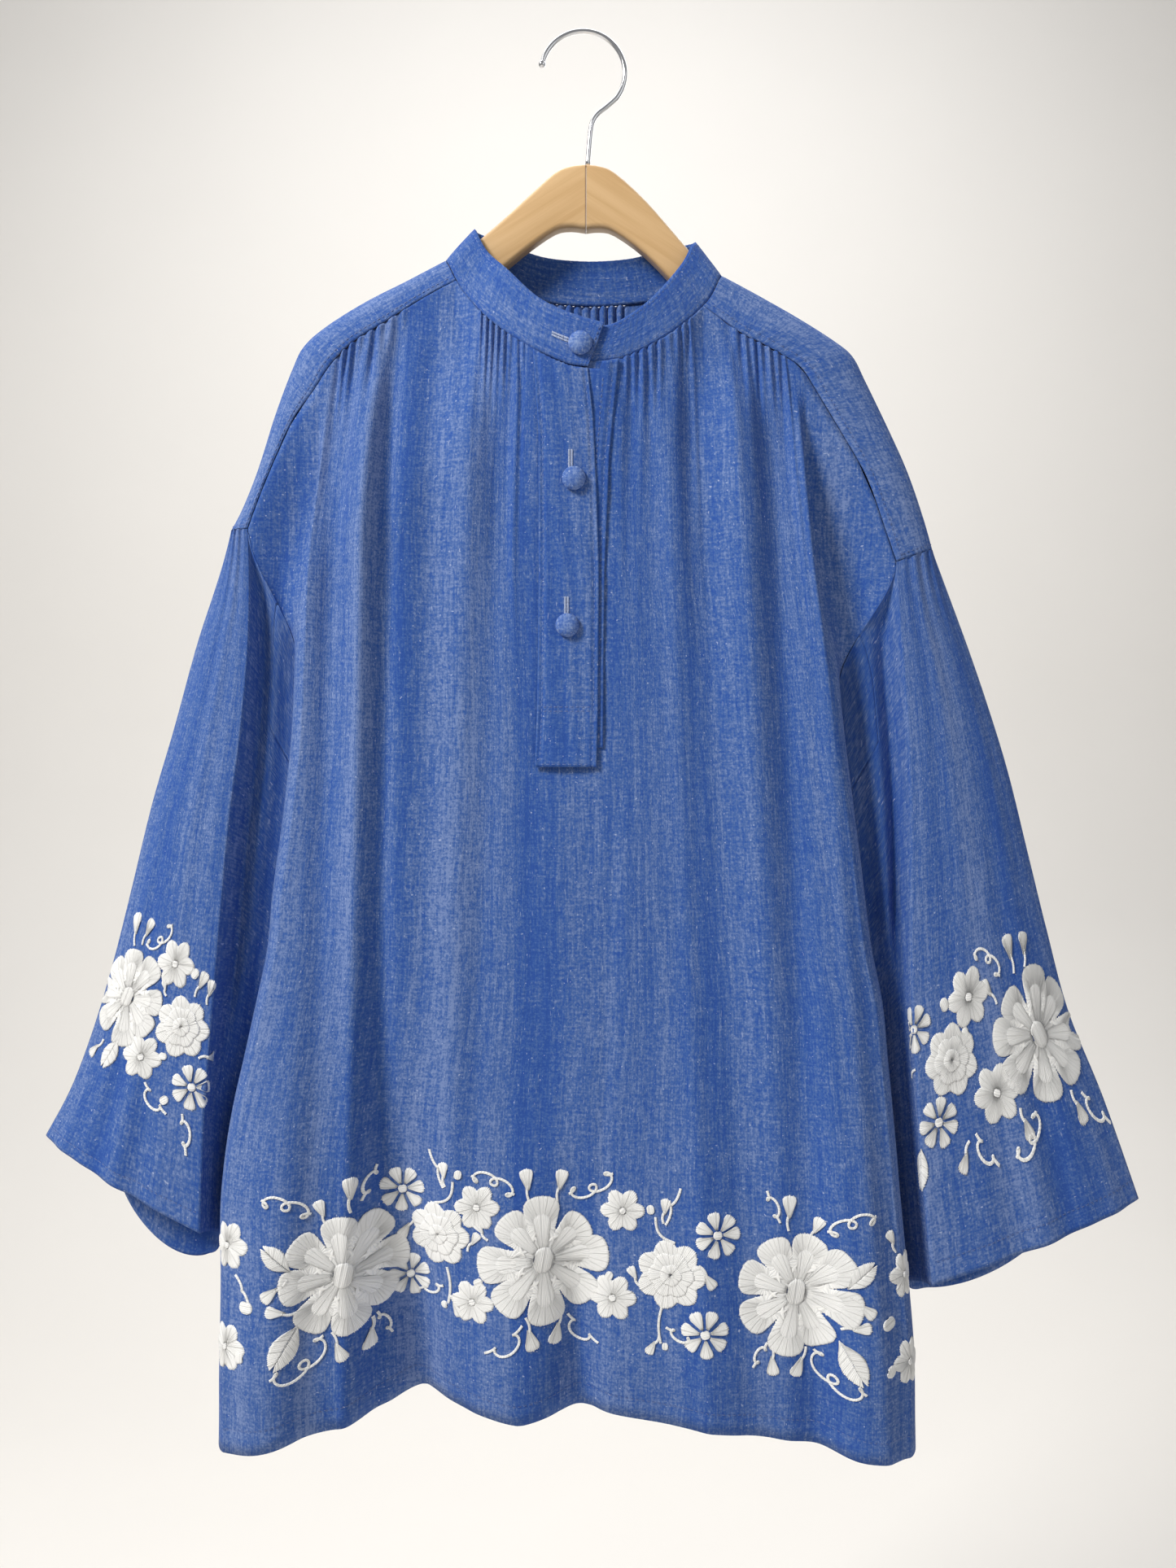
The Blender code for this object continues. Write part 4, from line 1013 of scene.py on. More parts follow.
def apply_modifier(piece: bpy.types.Object, kind: str, **settings: object) -> None:
    """Adds a modifier with these settings to a piece and applies it."""
    bpy.ops.object.select_all(action="DESELECT")
    bpy.context.view_layer.objects.active = piece
    piece.select_set(True)
    modifier = piece.modifiers.new(kind.lower(), kind)
    for key, value in settings.items():
        setattr(modifier, key, value)
    bpy.ops.object.modifier_apply(modifier=modifier.name)
    piece.select_set(False)


@dataclass
class Tailored:
    """A part sewn from sheets of the same cloth.

    Args:
        drape: how the cloth hangs.
        cut: finish of the cloth.
        trims: pieces on each sheet.
        wall: thickness of the cloth in millimetres.
    """

    drape: Drape
    cut: bpy.types.Material
    trims: Trims = field(default_factory=dict)
    wall: float = 0.9

    def cloth(self, name: str, points: list[list[Vector]], flats: list[list[tuple[float, float]]],
              outward: Callable[[Vector], Vector], closed: bool = False,
              keep: Callable[[int, int], bool] | None = None, wall: float = 0.0) -> bpy.types.Object:
        """Makes the sheet that stands for a solid.

        Args:
            name: name of the solid.
            points: rows of points.
            flats: rows of flat coordinates.
            outward: rough way out at a point.
            closed: whether each row joins up with its own start.
            keep: test of a quad's row and column.
            wall: its thickness, or the usual one if 0.

        Returns:
            The piece.
        """
        net = Net()
        net.grid(points, flats, closed, keep)
        data = net.mesh(name, outward)
        return place_piece(f"{name}_cloth", data, self.cut, (name,), wall or self.wall)


@dataclass
class Body(Tailored):
    """Front and back panels.

    Args:
        width: width of each panel's cut across the hem, in metres.
        length: length of the cut, in metres.
        side_length: way round a side fold on one panel, in millimetres.
    """

    width: float = 0.56
    length: float = 0.81
    side_length: float = 42.0
    crease_ease: float = 14.0
    opening_low: float = -560.0
    gather_parts: tuple[int, ...] = (3, 4, 5, 6)
    chest_parts: int = 9
    skirt_parts: int = 6
    pleat_parts: int = 4
    part_width: float = 2.2

    def heights(self, column: Column, share: float, hem: Sequence[Hem]) -> list[float]:
        """Heights of the rows down a column, with the same row at the underarm in all of them."""
        d = self.drape
        left, right = d.body_edge(d.hem_level, -1.0), d.body_edge(d.hem_level, 1.0)
        if column.side:
            under, low = column.side.under_z, lookup(hem, left if column.side is LEFT else right)
        else:
            under, low = mix(LEFT.under_z, RIGHT.under_z, share), lookup(hem, mix(left, right, share))
        count = len(d.gather_rows) - 1 + d.chest_rows
        if column.side:
            rows = [mix(column.top.z, under, i / count) for i in range(count + 1)]
        else:
            rows = [column.top.z - drop for drop in d.gather_rows]
            rows += [mix(rows[-1], under, (i + 1) / d.chest_rows) for i in range(d.chest_rows)]
        return rows + [mix(under, low, (i + 1) / d.skirt_rows) for i in range(d.skirt_rows)]

    def crease(self, x: float, z: float, back: bool) -> float:
        """Small soft creases that run down the cloth."""
        shift = 3.7 if back else 0.0
        one = math.sin(x / 6.1 + 1.3 * math.sin(z / 118.0 + shift) + shift)
        two = math.sin(x / 10.7 + 0.9 * math.sin(z / 71.0) + 2.0 + shift)
        three = math.sin(z / 33.0 + x / 19.0) * math.sin(x / 23.0 + z / 210.0)
        return 0.16 * one + 0.26 * two + 0.14 * three

    def vary(self, place: float) -> float:
        """Smoothly varying number from 0 to 1 along the gathers."""
        low = math.floor(place)
        return mix(chance(low), chance(low + 1.0), smooth(place - low))

    def reach(self, column: Column, z: float, index: float, share: float, back: bool) -> Vector:
        """Point of a panel's column at height z."""
        d = self.drape
        if column.side:
            return d.side_point(column.side, column.turn, column.top, z, back)
        facing = 1.0 if back else -1.0
        left, right = d.body_edge(z, -1.0) + d.side_round, d.body_edge(z, 1.0) - d.side_round
        top_left = d.body_edge(column.top.z, -1.0) + d.side_round
        top_right = d.body_edge(column.top.z, 1.0) - d.side_round
        first = (column.top.x - top_left) / (top_right - top_left)
        down = (column.top.z - z) / (column.top.z - d.hem_level)
        x = mix(left, right, mix(first, share, smooth(down) * 0.4 + down * 0.6))
        y = d.depth(x, z, back)
        below = column.top.z - z
        wide, full = self.vary(index / 2.0), self.vary(index / 5.0 + 40.0)
        pull = 1.0 - smooth(below / (d.gather_rows[-1] * (0.4 + 0.9 * wide)))
        long = (1.0 - smooth(below / (110.0 + 190.0 * full))) * smooth(below / 25.0)
        y -= facing * column.gather * (0.35 + 0.9 * wide) * pull * math.cos(math.pi * index)
        pucker = math.sin(math.pi * index / 2.2 + 1.4 * math.sin(index / 2.3))
        y += facing * column.gather * (0.2 + 1.2 * full) * long * pucker
        beside = smooth((abs(x - d.opening_x) - d.opening_half) / self.crease_ease)
        beside = 1.0 if back or z < self.opening_low else beside
        y += self.crease(x, z, back) * smooth(below / 40.0) * beside
        return Vector((x, y, z))

    def around(self, a: float, z: float, back: bool) -> Vector:
        """Point on the lower body by distance across the cloth and height."""
        d = self.drape
        sign = 1.0 if a > 0.0 else -1.0
        inner = d.body_edge(z, sign) - sign * d.side_round
        over = (a - inner) * sign
        if over <= 0.0:
            return d.skin(a, z, back) + Vector((0.0, self.crease(a, z, back) * smooth(-over / 8.0), 0.0))
        angle = math.radians(min(over / self.side_length, 1.0) * 90.0)
        return d.skin(inner + sign * d.side_round * math.sin(angle), z, back)

    def panel(self, name: str, columns: list[Column], hem: Sequence[Hem], back: bool) -> bpy.types.Object:
        """Builds one panel.

        Args:
            name: name of the piece.
            columns: its columns.
            hem: its hem.
            back: whether it is the back.

        Returns:
            The piece.
        """
        reach = [0.0]
        for one, two in zip(columns, columns[1:]):
            step = abs(two.top.x - one.top.x) * one.cloth if one.side is None and two.side is None else 0.0
            reach.append(reach[-1] + step)
        shares = [r / reach[-1] for r in reach]
        levels = [self.heights(c, s, hem) for c, s in zip(columns, shares)]
        places: list[tuple[int, float]] = []
        for j, column in enumerate(columns[:-1]):
            wide = (columns[j + 1].top - column.top).length
            parts = self.pleat_parts if column.gather else min(max(round(wide / self.part_width), 2), 10)
            places += [(j, k / parts) for k in range(parts)]
        places.append((len(columns) - 2, 1.0))
        steps = [*self.gather_parts] + [self.chest_parts] * self.drape.chest_rows
        steps += [self.skirt_parts] * self.drape.skirt_rows
        rows = [(r, k / n) for r, n in enumerate(steps) for k in range(n)] + [(len(steps) - 1, 1.0)]
        points, flats = [], []
        flanks = [next(i for i, (j, g) in enumerate(order) if not columns[j].side and not g)
                  for order in (places, places[::-1])]
        for r, f in rows:
            line, flat = [], []
            for j, g in places:
                one, two = columns[j], columns[j + 1]
                share = mix(shares[j], shares[j + 1], g)
                z = mix(mix(levels[j][r], levels[j][r + 1], f), mix(levels[j + 1][r], levels[j + 1][r + 1], f), g)
                index = j + g
                if one.side is two.side:
                    top = one.top.lerp(two.top, g)
                    gather = mix(one.gather, two.gather, g)
                    middle = Column(top, gather, one.cloth, one.side, mix(one.turn, two.turn, g))
                    line.append(self.reach(middle, z, index, share, back))
                else:
                    ends = [self.reach(c, z, index, share, back) for c in (one, two)]
                    line.append(ends[0].lerp(ends[1], g))
                flat.append((share * self.width + BOLT[name], z * MM))
            for way, end in ((1, flanks[0]), (-1, flanks[1])):
                spots, over = line[::way], 0.0
                for i in range(end - 1, -1, -1):
                    step = spots[i + 1] - spots[i]
                    over += math.hypot(step.x, step.y) * MM
                    k = i if way > 0 else len(line) - 1 - i
                    flat[k] = (flat[k][0] - way * over, flat[k][1])
            points.append(line)
            flats.append(flat)
        facing = 1.0 if back else -1.0
        piece = self.cloth(name, points, flats, lambda p: Vector((p.x * 0.001, facing, 0.0)))
        self.width * self.length * 0.93
        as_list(self.trims.get(name, []))
        return piece

    def build(self) -> list[bpy.types.Object]:
        """Builds both panels."""
        return [
            self.panel("front_body", self.drape.front, HEM_FRONT, False),
            self.panel("back_body", self.drape.back, HEM_BACK, True),
        ]


@dataclass
class Saddles(Tailored):
    """Shoulder pieces from the collar to the sleeve heads."""

    half_width: float = 0.038
    gap: float = 0.5
    rows: int = 90
    columns: int = 40

    def surface(self, side: Side, s: float, turn: float) -> Vector:
        """Point on a saddle with its slight ripple along the seams."""
        point = self.drape.saddle_point(side, s, turn)
        near = smooth((abs(turn) - 0.45) / 0.4) * smooth(s / 0.1)
        lip = math.exp(-((abs(turn) - 0.9) / 0.06) ** 2)
        point.y += math.copysign(0.25 * near * math.sin(s * 118.0) + 0.6 * lip * smooth(s / 0.06), turn)
        return point

    def panel(self, side: Side) -> bpy.types.Object:
        """Builds one saddle."""
        points, flats = [], []
        length = 0.0
        before = None
        for i in range(self.rows + 1):
            s = (i / self.rows) ** 1.2
            ridge = self.drape.saddle_point(side, s, 0.0)
            if before is not None:
                length += (ridge - before).length
            before = ridge
            line, flat = [], []
            for k in range(self.columns + 1):
                turn = 2.0 * k / self.columns - 1.0
                point = self.surface(side, s, turn)
                if abs(turn) > 0.97:
                    point += Vector((ridge.x - point.x, 0.0, ridge.z - point.z)).normalized() * self.gap
                line.append(point)
                flat.append((BOLT["saddle"] + turn * self.half_width, length * MM))
            points.append(line)
            flats.append(flat)
        name = f"saddle_{side.name}"
        piece = self.cloth(name, points, flats, lambda p: Vector((side.sign * 0.3, p.y / 20.0, 1.0)))
        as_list(self.trims.get(name, []))
        return piece

    def build(self) -> list[bpy.types.Object]:
        """Builds both saddles."""
        return [self.panel(side) for side in (LEFT, RIGHT)]


@dataclass
class Sleeves(Tailored):
    """Wide sleeves and the gussets let in under the arms."""

    ring: int = 6
    rows: int = 120
    gusset_rows: int = 32
    gusset_steps: float = 3.0

    def surface(self, side: Side, w: float, t: float) -> Vector:
        """Point on a sleeve with its small creases."""
        point = self.drape.sleeve_point(side, w, t)
        total = self.drape.sleeve_steps
        free = smooth(t / 0.12)
        angle = math.tau * w / total
        crease = 0.35 * math.sin(9.0 * angle + 3.0 * t) + 0.25 * math.sin(14.0 * angle - 5.0 * t + 1.0)
        crease *= 1.0 + 3.0 * smooth((t - 0.7) / 0.3)
        if w % total < self.drape.front_steps:
            point.y -= crease * free * math.sin(math.pi * (w % total) / self.drape.front_steps)
        return point

    def tube(self, side: Side) -> list[bpy.types.Object]:
        """Builds one sleeve and its gusset."""
        d = self.drape
        under = d.front_steps + d.pleat_steps
        wide = d.sleeve_steps * self.ring
        points, flats = [], []
        around = [0.0]
        for k in range(wide):
            step = self.surface(side, (k + 1) / self.ring, 0.9) - self.surface(side, k / self.ring, 0.9)
            around.append(around[-1] + step.length * MM)
        down = 0.0
        for r in range(self.rows + 1):
            t = r / self.rows
            line = [self.surface(side, k / self.ring, t) for k in range(wide)]
            if points:
                down += (line[wide // 8] - points[-1][wide // 8]).length * MM
            points.append(line)
            flats.append([(BOLT["sleeve"] + a + side.sign, -down) for a in around])

        def in_gusset(r: int, k: int) -> bool:
            """Whether a quad belongs to the gusset."""
            return r < self.gusset_rows and abs((k + 0.5) / self.ring - under) < self.gusset_steps

        def outward(p: Vector) -> Vector:
            """Rough way out of the sleeve."""
            return Vector((0.0, p.y + 6.0, 0.0))

        pieces = []
        for kind, keep in (("sleeve", lambda r, k: not in_gusset(r, k)), ("gusset", in_gusset)):
            name = f"{kind}_{side.name}"
            piece = self.cloth(name, points, flats, outward, True, keep)
            if kind == "sleeve":
                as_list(self.trims.get(name, []))
            pieces.append(piece)
        return pieces

    def build(self) -> list[bpy.types.Object]:
        """Builds both sleeves with their gussets."""
        return [piece for side in (LEFT, RIGHT) for piece in self.tube(side)]


@dataclass
class Collar(Tailored):
    """Standing band with its ends lapped in front."""

    steps: int = 360
    rows: int = 14
    wall: float = 1.7
    puff: float = 0.5
    height: float = 0.034
    pitch: float = 0.026

    def surface(self, place: float, h: float) -> Vector:
        """Point on the outside of the band; h runs 0 at its seam to 1 at its upper edge."""
        neck = Neck(*spline(COLLAR, place))
        low = Vector((neck.x, neck.y, neck.z))
        high = Vector((neck.top_x, neck.top_y, neck.top_z))
        before, after = self.drape.collar_low(place - 0.2), self.drape.collar_low(place + 0.2)
        along = Vector((after.x - before.x, after.y - before.y, 0.0)).normalized()
        out = Vector((-along.y, along.x, 0.0))
        swell = math.sin(math.pi * h) ** 0.5 * self.puff
        for stitched in COLLAR_ROWS:
            swell -= 0.35 * math.exp(-((h - stitched) / 0.028) ** 2)
        swell += 0.12 * math.sin(place * 31.0 + 4.0 * h) + 0.08 * math.sin(place * 57.0)
        return low.lerp(high, h) + out * (swell - self.puff * 0.5)

    def build(self) -> list[bpy.types.Object]:
        """Builds the band."""
        places = [i / self.steps * (len(COLLAR) - 1) for i in range(self.steps + 1)]
        shares = [r / self.rows for r in range(self.rows + 1)]
        points = [[self.surface(place, h) for place in places] for h in shares]
        start = BOLT["collar_band"]
        flats = [[(start + h * self.height, place * self.pitch) for place in places] for h in shares]
        piece = self.cloth("collar_band", points, flats, lambda p: Vector((p.x, p.y * 2.0, 0.0)))
        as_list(self.trims.get("collar_band", []))
        return [piece]


@dataclass
class Placket(Tailored):
    """The two strips of the front opening, lapped and boxed off at the bottom."""

    top: float = -250.0
    low: float = -533.5
    under_low: float = -520.0
    over_lift: float = 3.25
    under_lift: float = 1.7
    over_wall: float = 1.1
    width: float = 0.043
    rows: int = 130
    columns: int = 36

    def left(self, z: float, over: bool) -> float:
        """Left edge of a strip."""
        return lookup(PLACKET_LEFT, z) if over else -29.0

    def right(self, z: float, over: bool) -> float:
        """Right edge of a strip."""
        return lookup(PLACKET_RIGHT, z) if over else lookup(UNDER_RIGHT, z)

    def neck_clear(self, x: float) -> float:
        """Height just under the collar's buttoned end."""
        near = min((self.drape.collar_low(i / 8.0) for i in range(25)), key=lambda p: abs(p.x - x))
        return near.z - 1.3 if x < 11.0 else 0.0

    def surface(self, q: float, z: float, over: bool) -> Vector:
        """Point on a strip; q runs 0 at its left edge to 1 at its right edge."""
        x = mix(self.left(z, over), self.right(z, over), q)
        lift = self.over_lift if over else self.under_lift
        edge = min(q, 1.0 - q)
        swell = 0.5 * smooth(edge / 0.12) - 0.85 * math.exp(-((edge - PLACKET_ROW) / 0.028) ** 2)
        swell += (0.18 * math.sin(z / 5.3 + q * 3.0) + 0.22 * math.sin(z / 12.0 + q * 5.0)
                  + 0.14 * math.sin(q * 19.0 + z / 31.0))
        return Vector((x, self.drape.front_depth(x, z) - lift - swell + 0.15, z))

    def strip(self, over: bool) -> bpy.types.Object:
        """Builds one strip."""
        name = "placket_over" if over else "placket_under"
        low = self.low if over else self.under_low
        tops = []
        for k in range(self.columns + 1):
            x = mix(self.left(self.top, over), self.right(self.top, over), k / self.columns)
            tops.append(min(lookup(self.drape.front_edge, x, 2) - 1.0, self.neck_clear(x)))
        cells = [[(k / self.columns, mix(start, low, r / self.rows)) for k, start in enumerate(tops)]
                 for r in range(self.rows + 1)]
        points = [[self.surface(q, z, over) for q, z in row] for row in cells]
        flats = [[(BOLT[name] + q * self.width, z * MM) for q, z in row] for row in cells]
        wall = self.over_wall if over else self.wall
        piece = self.cloth(name, points, flats, lambda p: Vector((0.0, -1.0, 0.0)), wall=wall)
        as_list(self.trims.get(name, []))
        return piece

    def build(self) -> list[bpy.types.Object]:
        """Builds both strips."""
        return [self.strip(False), self.strip(True)]


def deselect() -> None:
    """Leaves edit mode's work with nothing selected and object mode on."""
    if bpy.context.mode != "OBJECT":
        bpy.ops.object.mode_set(mode="OBJECT")
    bpy.ops.object.select_all(action="DESELECT")


def edit_all() -> None:
    """Opens the active object in edit mode with everything selected."""
    bpy.ops.object.mode_set(mode="EDIT")
    bpy.ops.mesh.select_all(action="SELECT")


def take(piece: bpy.types.Object, test: Callable[[Vector, Vector], bool]) -> None:
    """Selects, in edit mode, the faces whose centre and normal pass a test."""
    work = bmesh.from_edit_mesh(piece.data)
    work.normal_update()
    for face in work.faces:
        face.select_set(test(face.calc_center_median(), face.normal))
    work.select_flush_mode()
    bmesh.update_edit_mesh(piece.data)


def soften(data: bpy.types.Mesh) -> None:
    """Shades every face of a mesh smooth."""
    for polygon in data.polygons:
        polygon.use_smooth = True


def put_in_order(data: bpy.types.Mesh) -> None:
    """Numbers points and faces by their place, because the operators number them otherwise on each run."""
    work = bmesh.new()
    work.from_mesh(data)
    for elements, place in ((work.verts, lambda v: v.co), (work.faces, lambda f: f.calc_center_median())):
        order = sorted(elements, key=lambda element: tuple(round(c, 7) for c in place(element)))
        rank = {element: number for number, element in enumerate(order)}
        elements.sort(key=lambda element: rank[element])
    work.to_mesh(data)
    work.free()


def settle(piece: bpy.types.Object) -> bpy.types.Mesh:
    """Moves a modelled piece's place into its mesh and hands the mesh over.

    Args:
        piece: the object that the operators made.

    Returns:
        Its mesh, with normals outwards.
    """
    edit_all()
    bpy.ops.mesh.remove_doubles(threshold=1e-6)
    bpy.ops.mesh.normals_make_consistent(inside=False)
    bpy.ops.object.mode_set(mode="OBJECT")
    bpy.ops.object.transform_apply(location=True, rotation=True, scale=True)
    data = piece.data
    bpy.data.objects.remove(piece)
    put_in_order(data)
    return data


@dataclass
class Buttons:
    """Three cloth-covered domes down the placket, puckered round their edges."""

    drape: Drape
    placket: Placket
    # cover: a paler copy of the cloth, painted lighter for the light that the domes catch
    cover: bpy.types.Material
    radius: float = 8.3
    dome: float = 4.4
    edge: float = 1.5
    seat: float = 0.3
    collar_seat_y: float = -41.3
    segments: int = 48
    puckers: int = 13
    places: tuple[tuple[float, float], ...] = ((-4.0, -239.3), (-8.5, -332.7), (-13.0, -434.6))

    def depth(self, number: int) -> float:
        """Depth of the surface that a button rests on."""
        if number == 0:
            return self.collar_seat_y
        x, z = self.places[number]
        reach = (-self.radius, 0.0, self.radius)
        near = min(self.drape.front_depth(x + dx, z + dz) for dx in reach for dz in reach)
        return near - self.placket.over_lift - self.seat

    def one(self, number: int) -> bpy.types.Object:
        """Builds one button."""
        x, z = self.places[number]
        y = self.depth(number)
        deselect()
        bpy.ops.mesh.primitive_circle_add(
            vertices=self.segments, radius=(self.radius - 1.0) * MM, fill_type="NGON",
            location=(x * MM, y * MM, z * MM), rotation=(math.radians(90.0), 0.0, 0.0),
        )
        piece = bpy.context.object
        edit_all()
        radius = self.radius - 1.0
        rings = [(self.radius, self.edge)]
        for i in range(1, 12):
            angle = math.radians(7.9 * i)
            rings.append((self.radius * math.cos(angle), self.edge + self.dome * math.sin(angle)))
        depth = 0.0
        for wide, out in rings:
            move = {"value": (0.0, -(out - depth) * MM, 0.0)}
            bpy.ops.mesh.extrude_region_move(TRANSFORM_OT_translate=move)
            ratio = wide / radius
            bpy.ops.transform.resize(value=(ratio, 1.0, ratio), center_override=(x * MM, (y - out) * MM, z * MM))
            radius, depth = wide, out
        data = settle(piece)
        name = f"button_{number + 1}"
        layer = data.uv_layers.new(name="cloth")
        for loop in data.loops:
            place = data.vertices[loop.vertex_index].co
            layer.data[loop.index].uv = (place.x + BOLT["button"] + number, place.z)
        for vertex in data.vertices:
            across, up = vertex.co.x - x * MM, vertex.co.z - z * MM
            share = math.hypot(across, up) / (self.radius * MM)
            if vertex.co.y < (y - 0.5) * MM and share > 0.3:
                pleat = math.sin(self.puckers * math.atan2(up, across) + number)
                vertex.co.y += 0.28 * MM * pleat * smooth((share - 0.45) / 0.5)
        soften(data)
        return place_piece(f"{name}_cover", data, self.cover, (name,))

    def build(self) -> list[bpy.types.Object]:
        """Builds the three buttons."""
        return [self.one(number) for number in range(len(self.places))]


@dataclass
class Hanger:
    """Two shaped wooden arms, glued together in the middle under the hook.

    Args:
        left_wood: finish of the left arm.
        right_wood: finish of the right arm.
        thick: thickness of the wood in millimetres.
        round_over: radius that its long edges are worn to.
    """

    left_wood: bpy.types.Material
    right_wood: bpy.types.Material
    thick: float = 13.0
    round_over: float = 3.4

    def arm(self, name: str, rows: Sequence[Arm], wood: bpy.types.Material) -> bpy.types.Object:
        """Builds one arm.

        Args:
            name: name of the piece.
            rows: its sections, from the joint to the tip.
            wood: its finish.

        Returns:
            The piece.
        """
        places = [Arm(*row) for row in finer(rows)]
        first = places[0]
        way = 1.0 if rows[-1].x > 0.0 else -1.0
        deselect()
        bpy.ops.mesh.primitive_cube_add(size=MM, location=(first.x * MM, 0.0, (first.top - first.height / 2.0) * MM))
        piece = bpy.context.object
        piece.scale = (0.2, self.thick, first.height)
        bpy.ops.object.transform_apply(location=True, rotation=True, scale=True)
        bpy.ops.object.mode_set(mode="EDIT")
        bpy.ops.mesh.select_mode(type="FACE")
        bpy.ops.mesh.select_all(action="DESELECT")
        take(piece, lambda centre, normal: normal.x * way > 0.9)
        before = Arm(first.x + way * 0.1, first.top, first.height)
        for place in places[1:]:
            middle = place.top - place.height / 2.0
            shift = (place.x - before.x, 0.0, middle - (before.top - before.height / 2.0))
            bpy.ops.mesh.extrude_region_move(TRANSFORM_OT_translate={"value": tuple(v * MM for v in shift)})
            centre = (place.x * MM, 0.0, middle * MM)
            thin = 0.8 if place is places[-1] else 1.0
            bpy.ops.transform.resize(value=(1.0, thin, place.height / before.height), center_override=centre)
            before = place
        bpy.ops.mesh.select_all(action="DESELECT")
        work = bmesh.from_edit_mesh(piece.data)
        bpy.ops.mesh.select_mode(type="EDGE")
        tip = places[-1].x * MM
        for edge in work.edges:
            one, two = (face.normal for face in edge.link_faces)
            ends = [v.co.x for v in edge.verts]
            long_edge = abs(one.dot(two)) < 0.5 and abs(ends[0] - ends[1]) > 1e-5
            at_tip = min(abs(e - tip) for e in ends) < 1e-6 and abs(one.dot(two)) < 0.5
            edge.select_set(long_edge or at_tip)
        bmesh.update_edit_mesh(piece.data)
        bpy.ops.mesh.bevel(offset=self.round_over * MM, segments=5, profile=0.5, clamp_overlap=True)
        bpy.ops.object.mode_set(mode="OBJECT")
        bpy.ops.object.shade_smooth_by_angle(angle=math.radians(35.0))
        data = settle(piece)
        return place_piece(f"{name}_wood", data, wood, (name,))

    def build(self) -> list[bpy.types.Object]:
        """Builds both arms."""
        return [
            self.arm("hanger_left", ARM_LEFT, self.left_wood),
            self.arm("hanger_right", ARM_RIGHT, self.right_wood),
        ]


@dataclass
class Hook:
    """Bright wire hook: its arc is spun, and its neck and stem are drawn out of the arc's end."""

    finish: bpy.types.Material
    wire: float = 1.8
    radius: float = 30.4
    centre_x: float = -2.2
    centre_z: float = -28.6
    start: float = 168.0
    end: float = -38.0
    ball: float = 2.5

    def path(self) -> list[Vector]:
        """Middle line of the wire from the arc's end down into the wood."""
        rows = [(14.6, -53.6), (8.6, -58.2), (5.0, -63.5), (3.4, -70.0), (2.2, -82.0), (1.1, -96.65)]
        last = math.radians(self.end)
        first = (self.centre_x + self.radius * math.cos(last), self.centre_z + self.radius * math.sin(last))
        return [Vector((x, 0.0, z)) for x, z in finer([first] + rows)]

    def build(self) -> list[bpy.types.Object]:
        """Builds the hook with the small ball on its tip."""
        centre = Vector((self.centre_x, 0.0, self.centre_z)) * MM
        angle = math.radians(self.start)
        tip = centre + Vector((math.cos(angle), 0.0, math.sin(angle))) * self.radius * MM
        deselect()
        bpy.ops.mesh.primitive_circle_add(vertices=20, radius=self.wire * MM, location=tip,
                                          rotation=(0.0, math.pi - angle, 0.0), fill_type="NOTHING")
        piece = bpy.context.object
        bpy.ops.object.transform_apply(location=True, rotation=True, scale=True)
        edit_all()
        bpy.ops.mesh.spin(steps=56, angle=math.radians(self.end - self.start), center=centre, axis=(0.0, 1.0, 0.0))
        path = self.path()
        way = (path[1] - path[0]).normalized()
        for before, place, after in zip(path, path[1:], path[2:] + path[-1:]):
            move = tuple((place - before) * MM)
            bpy.ops.mesh.extrude_region_move(TRANSFORM_OT_translate={"value": move})
            ahead = (after - place).normalized() if after is not place else way
            turn = math.atan2(way.x * ahead.z - way.z * ahead.x, way.x * ahead.x + way.z * ahead.z)
            bpy.ops.transform.rotate(value=turn, orient_axis="Y", center_override=tuple(place * MM))
            way = ahead
        bpy.ops.mesh.edge_face_add()
        bpy.ops.object.mode_set(mode="OBJECT")
        wire = settle(piece)
        deselect()
        bpy.ops.mesh.primitive_uv_sphere_add(segments=24, ring_count=16, radius=self.ball * MM, location=tip)
        ball = bpy.context.object
        edit_all()
        bpy.ops.transform.resize(value=(1.0, 1.0, 1.12), center_override=tip)
        bpy.ops.object.mode_set(mode="OBJECT")
        knob = settle(ball)
        joined = bmesh.new()
        joined.from_mesh(wire)
        joined.from_mesh(knob)
        data = bpy.data.meshes.new("hook")
        joined.to_mesh(data)
        joined.free()
        soften(data)
        return [place_piece("hook_wire", data, self.finish, ("hook",))]


